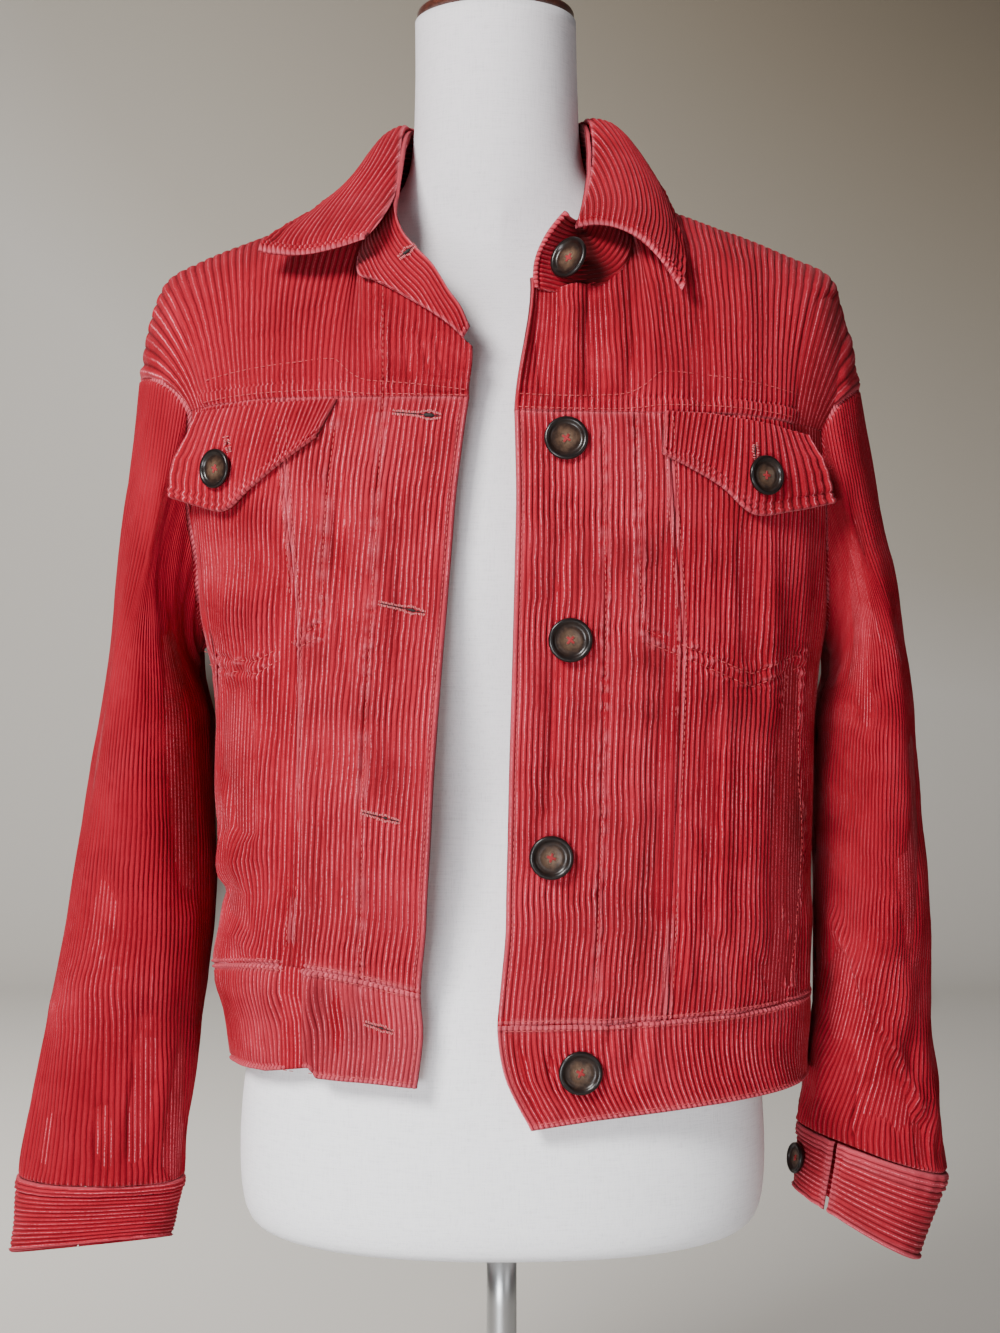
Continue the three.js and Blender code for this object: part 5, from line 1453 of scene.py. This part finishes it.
def strip_piece(node, surface, places, low_w, seed, thick, below, finish, shaded_hollow=None):
    """Collar piece: ribs run lengthwise from its free edge at an even pitch and run out at the other edge."""
    w_fine = np.linspace(low_w, 1, 25)
    place, w = np.meshgrid(places, w_fine)
    tall = heights_between(surface(place, w))
    d_line = rib_places(0.0, float(tall.max()), ACROSS_FEWER)
    place, d = np.meshgrid(places, d_line)
    kept = np.minimum(d, tall[None, :])
    w = 1 - (1 - low_w) * kept / tall[None, :]
    run = lengths_along(surface, places, 0.5)
    length = np.broadcast_to(run, place.shape)
    base = surface(place, w)
    reference = vec(np.full(place.shape, -3.0), np.full(place.shape, 5.0), base[..., 2] - below)
    lists = [(kept, finish), (tall[None, :] - kept, "plain"), (length, finish), (run[-1] - length, finish)]
    height, wear_and_painted_light = cloth_height(base, kept, length, lists, seed, 0.35, folds=False)
    # painted shade in the hollow behind the stand's rolled end, where the button sits
    if shaded_hollow:
        wear_and_painted_light = wear_and_painted_light - 2.0 * near(place, *shaded_hollow)
    make_cloth(
        node,
        base,
        grid_normals(base, reference),
        kept,
        length,
        lists,
        seed,
        (height, wear_and_painted_light),
        lift=thick,
        thick=thick,
    )


def end_marks(first, last, count, run):
    """Places along a collar piece, close together near its two ends."""
    places = np.linspace(first, last, count)
    marks = np.array([0.0, 0.5, 1.0, 1.7, 2.5, 3.3, 3.9, 4.6, 5.6, 6.6, 7.3, 8.5])
    near_first = np.interp(marks, run, places)
    near_last = np.interp(run[-1] - marks, run, places)
    return np.unique(np.concatenate([places, near_first, near_last]).round(4))


def build_collar():
    for node, surface, last, count, low_w, seed, thick, below, finish, area, under, shaded_hollow in (
        ("collar_stand", stand_at, 21, 110, -0.06, 81, 0.8, 40, "cord", 0.0185, "form_torso", (19.0, 1.1)),
        ("collar_leaf", leaf_at, 12, 170, 0.0, 83, 1.1, 60, "double", 0.026, "collar_stand_cloth", None),
    ):
        run = lengths_along(surface, np.linspace(0, last, count), 0.5)
        places = end_marks(0, last, count, run)
        strip_piece(node, surface, places, low_w, seed, thick, below, finish, shaded_hollow)


def front_depth(side, x, z):
    share = np.abs(x) / BODY(side, z)
    front = BODY("front", z)

    def depth(s):
        return -front * (1 - s**FRONT_POWER) ** (1 / FRONT_POWER)

    straight = np.full(np.shape(share), FLAP_STRAIGHT)
    slope = (depth(straight) - depth(straight - 0.01)) / 0.01
    round_part = depth(np.minimum(share, FLAP_STRAIGHT))
    return np.where(share <= FLAP_STRAIGHT, round_part, depth(straight) + slope * (share - FLAP_STRAIGHT))


def seen_point(side, px, py):
    px, py = np.broadcast_arrays(np.asarray(px, float), np.asarray(py, float))
    y = np.full(px.shape, -110.0)
    for _ in range(20):
        scale = (VIEW_DISTANCE + y) * VIEW_SCALE / VIEW_DISTANCE
        x = (px - MIDDLE_X) * scale
        z = VIEW_HEIGHT + (MIDDLE_Y - py) * scale
        y = front_depth(side, x, z)
    slope_x = (front_depth(side, x + 2, z) - front_depth(side, x - 2, z)) / 4
    slope_z = (front_depth(side, x, z + 2) - front_depth(side, x, z - 2)) / 4
    normal = unit(vec(slope_x, np.full(px.shape, -1.0), slope_z))
    p = vec(x, y, z)
    return p + normal * folds_at(p, FOLDS)[..., None], normal


def build_flaps():
    for number, side in enumerate(SIDES):
        table = FLAP[side]
        wide = FLAP_WIDE
        s_line = rib_places(0.0, wide)
        v_line = dense_places(52, 3.0)
        s, v = np.meshgrid(s_line, v_line)
        w = s / wide
        bow = table("bow", w) * 4 * v * (1 - v)
        px = mix(table("x", w), table("footX", w), v) + bow
        py = mix(table("y", w), table("footY", w), v)
        base, normal = seen_point(side, px, py)
        lift = 0.5 + FLAP_THICK + 1.5 * v * v + FLAP_STAND_OFF * w**4
        base = base + normal * lift[..., None]
        tall = heights_between(base)[None, :]
        along = v * FLAP_TALL
        lists = [(v * tall + 3, "plain"), ((1 - v) * tall, "double"), (s, "edge"), (wide - s, "edge")]
        seed = 91 + number
        make_cloth(
            f"flap_{side}",
            base,
            normal,
            s,
            along,
            lists,
            seed,
            cloth_height(base, s, along, lists, seed, 0.3, folds=False),
            lift=FLAP_THICK,
            sink=FLAP_SINK,
            thick=FLAP_THICK,
            wanders=False,
        )


# Buttons


def revolve(profile, segments):
    """Solid of revolution about Z from radii and heights."""
    profile = np.array(profile, float)
    turn = np.linspace(0, 2 * math.pi, segments, endpoint=False)
    radius = profile[:, None, 0]
    height = np.repeat(profile[:, 1:2], segments, 1)
    points = np.stack([radius * np.cos(turn), radius * np.sin(turn), height], -1)
    return points.reshape(-1, 3), tube_faces(len(profile), segments)


def button_disc(radius):
    """Turned button with a raised rim and a dished middle, and how far out each of its points lies."""
    h = 4.0
    profile = [
        (0.01, 0.2),
        (radius * 0.5, 0.1),
        (radius * 0.72, 0.0),
        (radius * 0.9, h * 0.2),
        (radius * 0.985, h * 0.45),
        (radius, h * 0.66),
        (radius * 0.985, h * 0.86),
        (radius * 0.94, h * 0.97),
        (radius * 0.88, h),
        (radius * 0.82, h * 0.95),
        (radius * 0.77, h * 0.8),
        (radius * 0.72, h * 0.64),
        (radius * 0.66, h * 0.585),
        (radius * 0.6, h * 0.57),
        (radius * 0.52, h * 0.6),
        (radius * 0.48, h * 0.6),
        (radius * 0.4, h * 0.56),
        (radius * 0.2, h * 0.54),
        (0.01, h * 0.54),
    ]
    points, faces = revolve(profile, 64)
    radial = np.hypot(points[:, 0], points[:, 1]) / radius
    return points, faces, radial


def cup(x, y, z, radius, deep):
    profile = [
        (radius * 1.12, 0.06),
        (radius, 0.02),
        (radius * 0.9, -0.3 * deep),
        (radius * 0.8, -deep),
        (0.01, -deep),
    ]
    points, faces = revolve(profile, 16)
    return points + [x, y, z], faces


# Radii of the buttons
FRONT_BUTTON, FLAP_BUTTON, CUFF_BUTTON = 12.5, 11.5, 9.5

# Threads: share along and share of the radius
LONG_THREAD = ((0.0, 0.25), (0.08, 0.75), (0.3, 1.0), (0.7, 1.0), (0.92, 0.75), (1.0, 0.25))
SHORT_THREAD = ((0.0, 0.2), (0.2, 1.0), (0.8, 1.0), (1.0, 0.2))


def capsule(a, b, radius, sides=8, profile=LONG_THREAD):
    """Short rounded thread from a to b."""
    a, b = np.array(a, float), np.array(b, float)
    way = (b - a) / np.linalg.norm(b - a)
    side = np.cross(way, [0.3, 0.2, 1.0] if abs(way[2]) < 0.8 else [1.0, 0, 0])
    side /= np.linalg.norm(side)
    other = np.cross(way, side)
    turn = np.linspace(0, 2 * math.pi, sides, endpoint=False)
    lines = []
    for t, r in profile:
        ring = np.cos(turn)[:, None] * side + np.sin(turn)[:, None] * other
        lines.append((a + (b - a) * t) + radius * r * ring)
    return np.concatenate(lines), tube_faces(len(lines), sides)


def gather(parts):
    points, faces, count = [], [], 0
    for p, f in parts:
        points.append(p)
        faces.append(f + count)
        count += len(p)
    return np.concatenate(points), np.concatenate(faces)


def placed(points, centre, facing, spin=0.0):
    z = unit(np.array(facing, float))
    up = np.array([0.0, 0.0, 1.0])
    x = unit(np.cross(up, z))
    y = np.cross(z, x)
    c, s = math.cos(spin), math.sin(spin)
    x, y = c * x + s * y, -s * x + c * y
    return points[:, :1] * x + points[:, 1:2] * y + points[:, 2:3] * z + np.array(centre)


def add_button(name, centre, facing, radius, spin):
    points, faces, radial = button_disc(radius)
    uv = np.stack([radial, np.zeros(len(radial))], -1)
    obj = make_mesh(name + "_horn", placed(points, centre, facing, spin), faces, "horn", HORN, uv)
    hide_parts(name)
    hole = radius * 0.085
    reach = radius * 0.155
    # cups painted near black for the shade inside the holes
    parts = [cup(x * reach, y * reach, 2.2, hole, 0.7) for x in (-1, 1) for y in (-1, 1)]
    points, faces = gather(parts)
    make_mesh(name + "_holes", placed(points, centre, facing, spin), faces, "horn", HOLE_SHADE)
    threads = []
    rng = np.random.default_rng(len(name) * 7 + int(radius * 10) + int(abs(centre[0])))
    for x0, y0, x1, y1 in ((-1, -1, 1, 1), (-1, 1, 1, -1)):
        for k in (-1, 0, 1):
            shift = k * hole * 0.42
            jitter = rng.uniform(-0.12, 0.12, 4)
            across = np.array([-(y1 - y0), x1 - x0]) / 2.9
            dx, dy = across * shift
            a = [x0 * reach + dx + jitter[0], y0 * reach + dy + jitter[1], 2.45]
            b = [x1 * reach + dx + jitter[2], y1 * reach + dy + jitter[3], 2.5 + 0.12 * k]
            threads.append(capsule(a, b, 0.32))
    points, faces = gather(threads)
    make_mesh(name + "_threads", placed(points, centre, facing, spin), faces, "corduroy", BUTTON_THREAD)


def build_buttons():
    front = [
        ("button_front_1", 566, 439, 0.3, 0.2),
        ("button_front_2", 570, 640, 0.5, 0.05),
        ("button_front_3", 551, 857, 1.2, 0.5),
        ("button_waistband", 580, 1072, 1.0, 0.3),
        ("button_flap_right", 224, 470, 5.3, 0.4),
        ("button_flap_left", 760, 477, 4.3, 0.7),
    ]
    for name, px, py, extra, spin in front:
        side = "left" if px > MIDDLE_X else "right"
        p, normal = seen_point(side, px, py)
        radius = FLAP_BUTTON if "flap" in name else FRONT_BUTTON
        add_button(name, p + normal * (extra + 0.1), normal, radius, spin)
    add_button("button_stand", (40.6, -97.0, 868.0), (-0.62, -0.74, 0.26), FRONT_BUTTON, 0.3)
    for side, share in (("right", 0.74), ("left", 0.405)):
        step = np.array([share, share + 0.02, share - 0.02, share, share])
        drop = np.array([0.5, 0.5, 0.5, 1.0, 0.0])
        p = cuff_at(side, step, drop)
        normal = unit(np.cross(p[1] - p[2], p[3] - p[4]))
        if np.dot(normal, p[0] - cuff_middle(side)) < 0:
            normal = -normal
        add_button(f"button_cuff_{side}", p[0] + normal * 0.75, normal, CUFF_BUTTON, 0.4)


# Stitches and buttonholes


def surface_finder():
    """Finds the nearest point in front of the jacket at a place on the photo."""
    points, normals = np.concatenate(FRONT_POINTS), np.concatenate(FRONT_NORMALS)
    px, py = seen(points)
    tree = KDTree(len(points))
    for i, (x, y) in enumerate(zip(px, py)):
        tree.insert((x, y, 0.0), i)
    tree.balance()

    def find(x, y):
        found = [i for _, i, _ in tree.find_n((x, y, 0.0), 6)]
        best = min(found, key=lambda i: points[i][1])
        # the place itself, at the depth of that point
        depth = points[best][1]
        scale = (VIEW_DISTANCE + depth) * VIEW_SCALE / VIEW_DISTANCE
        place = np.array([(x - MIDDLE_X) * scale, depth, VIEW_HEIGHT + (MIDDLE_Y - y) * scale])
        return place, normals[best]

    return find


def dashes(line, find, length=2.5, gap=1.1, radius=0.24, lift=0.1):
    """Short threads along a line on the photo."""
    line = np.array(line, float)
    run = np.append(0, np.cumsum(np.hypot(*np.diff(line, axis=0).T))) * VIEW_SCALE * 0.92
    threads = []
    for start in np.arange(0.4, run[-1] - length, length + gap):
        ends = []
        for d in (start, start + length):
            place, normal = find(np.interp(d, run, line[:, 0]), np.interp(d, run, line[:, 1]))
            ends.append(place + normal * lift)
        if np.linalg.norm(ends[1] - ends[0]) < length * 1.8:
            threads.append(capsule(ends[0], ends[1], radius, 5, SHORT_THREAD))
    return threads


def on_photo(points):
    return np.stack(seen(points), -1)


def sewn_lines():
    """Rows of stitches that follow the pieces' edges, on the photo."""
    lines = []
    for side in SIDES:
        z = np.linspace(452, 778, 80)
        whole = ring_length(side, z)
        seam = panel_seam(side, z)
        for q in (EDGE_ROW / whole, seam - CORD_ROW / whole, seam + SEAM_ROW / whole):
            lines.append(on_photo(body_at(side, q, z)))
        u = np.linspace(0.01, 0.98, 90)
        tall = 78.0
        for d in BAND_ROWS:
            lines.append(on_photo(yoke_at(side, "front", u, d / tall)))
        q = np.linspace(0.006, ARMHOLES[side][0] * 1.1, 80)
        for z in (WAIST(side, q) + SEAM_ROW, WAIST(side, q) - CORD_ROW, HEM(side, q) + CORD_ROW):
            lines.append(on_photo(body_at(side, q, z)))
        z = np.linspace(*((405, 440) if side == "right" else (385, 425)), 20)
        lines.append(on_photo(body_at(side, EDGE_ROW / ring_length(side, z), z)))
    return lines + [np.array(line, float) for line in SEWN]


# Buttonholes: two ends in photo pixels, the share along where each gapes, and how wide
BUTTONHOLES = [
    (393, 412, 441, 416, 0.75, 1.0), (379, 603, 425, 613, 0.7, 0.7),
    (361, 812, 400, 822, 0.6, 0.5), (365, 1023, 393, 1032, 0.6, 0.5),
    (399, 258, 415, 245, 0.5, 0.9), (226, 437, 229, 452, 0.5, 0.3), (755, 443, 756, 459, 0.5, 0.3),
]


def buttonhole(x0, y0, x1, y1, gape_at, gape, find, rng):
    """Slit with frayed thread worked over both its sides."""
    dark, threads = [], []
    steps = max(int(math.hypot(x1 - x0, y1 - y0) / 1.5), 8)
    way = np.array([x1 - x0, y1 - y0]) / math.hypot(x1 - x0, y1 - y0)
    side = np.array([-way[1], way[0]])
    middle = []
    for k in range(steps + 1):
        t = k / steps
        x, y = x0 + (x1 - x0) * t, y0 + (y1 - y0) * t
        place, normal = find(x, y)
        middle.append((place, normal))
        width = 0.5 + 2.6 * gape * math.exp(-(((t - gape_at) / 0.16) ** 2))
        for sign in (-1, 1):
            reach = width + rng.uniform(1.8, 3.0)
            slant = rng.uniform(-0.7, 0.7)
            a = find(x + side[0] * sign * width, y + side[1] * sign * width)
            b = find(x + side[0] * sign * reach + way[0] * slant, y + side[1] * sign * reach + way[1] * slant)
            threads.append(capsule(a[0] + a[1] * 0.35, b[0] + b[1] * 0.1, 0.27, 5, SHORT_THREAD))
    # the slit and its gape are near-black capsules, painted shade
    for (a, na), (b, nb) in zip(middle[1:-2], middle[2:-1]):
        dark.append(capsule(a + na * 0.05, b + nb * 0.05, 0.3, 6, SHORT_THREAD))
    k = int(round(gape_at * steps))
    place, normal = middle[k]
    ahead = min(gape_at + 0.1, 1)
    forward, _ = find(x0 + (x1 - x0) * ahead, y0 + (y1 - y0) * ahead)
    along = unit(forward - place)
    half = 3.2 * gape
    if gape > 0.4:
        dark.append(capsule(place - along * half, place + along * half, 1.15 * gape, 10))
    return dark, threads


def build_threads():
    find = surface_finder()
    threads = []
    for line in sewn_lines():
        threads += dashes(line, find)
    rng = np.random.default_rng(5)
    dark, pale = [], []
    for hole in BUTTONHOLES:
        more_dark, more_pale = buttonhole(*hole, find, rng)
        dark += more_dark
        pale += more_pale
    for name, parts, material in (
        ("seam_stitches", threads, THREAD),
        ("buttonhole_slits", dark, HOLE_SHADE),
        ("buttonhole_threads", pale, PALE_THREAD),
    ):
        make_mesh(name, *gather(parts), "corduroy", material)


# Form and stand

FORM = Table(
    ["z", "right", "left", "front", "back", "power"],
    [
        [289, 118, 121, 74, 80, 2.2],
        [291.5, 139, 142, 88, 96, 2.25],
        [298, 152, 155, 95, 106, 2.25],
        [312, 158, 161, 98, 109, 2.25],
        [340, 160, 163, 99, 110, 2.25],
        [366, 159, 162, 98, 109, 2.25],
        [392, 156, 160, 97, 104, 2.25],
        [430, 149, 153, 94, 97, 2.25],
        [490, 130, 134, 86, 84, 2.2],
        [550, 121, 124, 84, 78, 2.2],
        [610, 129, 132, 94, 86, 2.2],
        [680, 142, 145, 106, 97, 2.2],
        [730, 149, 152, 104, 100, 2.2],
        [780, 154, 156, 96, 98, 2.2],
        [820, 158, 160, 84, 92, 2],
        [850, 160, 162, 70, 82, 1.8],
        [872, 156, 158, 58, 71, 1.5],
        [886, 142, 144, 51, 62, 1.3],
        [897, 120, 121, 49, 56, 1.25],
        [908, 92, 92, 49, 52, 1.35],
        [918, 72, 71, 49.5, 50, 1.6],
        [930, 60.5, 57.5, 50, 50, 1.9],
        [950, 54.5, 50.5, 50, 50.5, 2],
        [990, 52.5, 48, 50, 50, 2],
        [1033, 52.5, 47, 50, 49, 2],
    ],
)
NECK_X, NECK_TOP = -2.8, 1033.5
POLE_X, POLE_RADIUS = 1.0, 9.3


def build_form():
    around = 96
    heights = np.unique(np.concatenate([np.linspace(289, 300, 10), np.linspace(300, 1033, 110)]))
    angle = np.linspace(0, 2 * math.pi, around, endpoint=False)
    z, turn = np.meshgrid(heights, angle, indexing="ij")
    power = 2 / FORM("power", z)
    c, s = np.cos(turn), np.sin(turn)
    x = np.sign(c) * np.abs(c) ** power * np.where(c > 0, FORM("left", z), FORM("right", z))
    y = np.sign(s) * np.abs(s) ** power * np.where(s > 0, FORM("back", z), FORM("front", z))
    points = vec(x, y, z).reshape(-1, 3)
    rows = len(heights)
    faces = tube_faces(rows, around)
    low = len(points)
    points = np.concatenate([points, [[0, 0, 289], [NECK_X, 0, 1033]]])
    ends = []
    top = (rows - 1) * around
    for j in range(0, around, 2):
        ends.append([low, (j + 2) % around, j + 1, j])
        ends.append([low + 1, top + j, top + j + 1, top + (j + 2) % around])
    faces = np.concatenate([faces, np.array(ends)])
    obj = make_mesh("form_torso_canvas", points, faces, "canvas", CANVAS)
    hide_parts("form_torso")
    z = NECK_TOP
    profile = [
        (0.01, z),
        (46, z),
        (47.5, z + 1.2),
        (48.3, z + 2.2),
        (48.6, z + 3.2),
        (48.6, z + 4.6),
        (48.0, z + 5.8),
        (46.5, z + 6.6),
        (43.5, z + 7.2),
        (40.8, z + 8),
        (39.4, z + 9.5),
        (38.9, z + 11.5),
        (38.2, z + 13.8),
        (36.6, z + 16.2),
        (33.6, z + 18.7),
        (29.0, z + 21.0),
        (22.0, z + 23.0),
        (12.0, z + 24.5),
        (0.01, z + 25),
    ]
    points, faces = revolve(profile, 96)
    obj = make_mesh("neck_cap_wood", points + [NECK_X, 0, 0], faces, "wood", WOOD)
    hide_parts("neck_cap")
    r = POLE_RADIUS
    pole = [(0.01, 12.4), (r, 12.4), (r, 60), (r, 150), (r, 240), (r, 288.6), (0.01, 288.6)]
    points, faces = revolve(pole, 64)
    obj = make_mesh("pole_metal", points + [POLE_X, 0, 0], faces, "metal", METAL)
    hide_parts("pole")
    base = [
        (0.01, 0),
        (148.5, 0),
        (149.6, 0.5),
        (150, 1.5),
        (150, 7),
        (149.4, 8.6),
        (147.6, 10.2),
        (145, 11.4),
        (142, 12),
        (60, 12),
        (0.01, 12),
    ]
    obj = make_mesh("base_metal", *revolve(base, 128), "metal", METAL)
    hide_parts("base")


build_fronts()
build_back()
build_front_yokes()
build_waistband()
build_sleeves()
build_cuffs()
build_collar()
build_flaps()
build_buttons()
build_threads()
build_form()


# Room, light and camera


def stage_material():
    """Warm grey paint with painted shade: darker high on the right, and two soft painted shadows beside the
    jacket.
    """
    n = Nodes("floor_paint_with_painted_shade")
    where = n.add("ShaderNodeTexCoord").outputs["Object"]

    def falloff(centre, reach):
        mapping = n.add("ShaderNodeMapping")
        mapping.inputs["Scale"].default_value = tuple(1 / r for r in reach)
        mapping.inputs["Location"].default_value = tuple(-c / r for c, r in zip(centre, reach))
        n.link(where, mapping.inputs["Vector"])
        size = n.add("ShaderNodeVectorMath", operation="LENGTH")
        n.link(mapping.outputs[0], size.inputs[0])
        return size.outputs["Value"]

    # painted shadows of the jacket on the far wall, beside the body and the sleeves
    dark = [(0.3, (0.07, 0.045, 0.036)), (0.9, (1.0, 1.0, 1.0))]
    # painted shade, darker high on the right
    high = [
        (0.3, (0.33, 0.285, 0.22)),
        (0.46, (0.47, 0.415, 0.335)),
        (0.88, (0.79, 0.755, 0.69)),
        (1.0, (0.96, 0.95, 0.925)),
    ]
    colour = (0.52, 0.50, 0.475)
    for centre, reach, stops in (
        ((-0.70, 3.6, 0.3), (0.26, 1.5, 0.9), dark),
        ((0.75, 3.6, 0.3), (0.20, 1.5, 0.8), dark),
        ((1.9, 3.6, 2.9), (3.6, 3.0, 2.4), high),
    ):
        colour = n.multiply(colour, n.ramp(falloff(centre, reach), stops))
    n.link(colour, n.shader.inputs["Base Color"])
    n.set("Roughness", 0.95)
    n.set("Specular IOR Level", 0.1)
    return n.material


def build_stage():
    """Pale floor that sweeps up into a far wall."""
    turn = np.linspace(0, math.pi / 2, 25)
    line = [(-4.0, 0.0)] + [(2.7 + 0.9 * math.sin(t), 0.9 - 0.9 * math.cos(t)) for t in turn] + [(3.6, 5.0)]
    verts = [(x, y, z) for y, z in line for x in (-6.0, 6.0)]
    faces = [(2 * i, 2 * i + 1, 2 * i + 3, 2 * i + 2) for i in range(len(line) - 1)]
    mesh = bpy.data.meshes.new("floor")
    mesh.from_pydata(verts, [], faces)
    mesh.polygons.foreach_set("use_smooth", [True] * len(faces))
    obj = bpy.data.objects.new("floor", mesh)
    bpy.context.scene.collection.objects.link(obj)
    mesh.materials.append(stage_material())


build_stage()


def area_light(name, place, target, size, power, colour):
    data = bpy.data.lights.new(name, "AREA")
    data.shape = "RECTANGLE"
    data.size, data.size_y = size
    data.energy = power
    data.color = colour
    obj = bpy.data.objects.new(name, data)
    obj.location = Vector(place)
    obj.rotation_euler = (Vector(target) - Vector(place)).to_track_quat("-Z", "Y").to_euler()
    obj.visible_camera = False
    bpy.context.scene.collection.objects.link(obj)


area_light("key", (-1.3, -1.9, 2.05), (0, 0, 0.6), (0.8, 0.8), 120, (1.0, 0.985, 0.965))
area_light("fill", (1.9, -2.2, 1.0), (0, 0, 0.6), (1.4, 1.4), 10, (1.0, 0.98, 0.98))
area_light("front", (-0.6, -1.9, 0.1), (0, 0, 0.05), (0.8, 0.8), 42, (0.94, 0.965, 1.0))
area_light("above", (0.1, 0.3, 2.9), (0, 0, 0.7), (2.0, 2.0), 5, (1.0, 0.99, 0.97))
area_light("backdrop", (-1.2, 0.9, 1.6), (0.1, 3.6, 0.1), (1.6, 1.6), 66, (1.0, 0.985, 0.965))

world = bpy.data.worlds.new("room")
bpy.context.scene.world = world
world.use_nodes = True
world.node_tree.nodes["Background"].inputs[0].default_value = (0.93, 0.95, 1.0, 1.0)
world.node_tree.nodes["Background"].inputs[1].default_value = 0.07

# A photo pixel at the front of the jacket sets how far off the camera is, in such pixels
SENSOR = 36.0
PHOTO_TALL = 1333.0
DISTANCE_IN_PIXELS = 2016.0
camera_data = bpy.data.cameras.new("camera")
camera_data.sensor_width = SENSOR
camera_data.lens = SENSOR * DISTANCE_IN_PIXELS / PHOTO_TALL
camera_data.clip_start = 0.05
camera = bpy.data.objects.new("camera", camera_data)
camera.location = (0.0, -VIEW_DISTANCE * MM, VIEW_HEIGHT * MM)
camera.rotation_euler = (math.pi / 2, 0.0, 0.0)
bpy.context.scene.collection.objects.link(camera)
bpy.context.scene.camera = camera
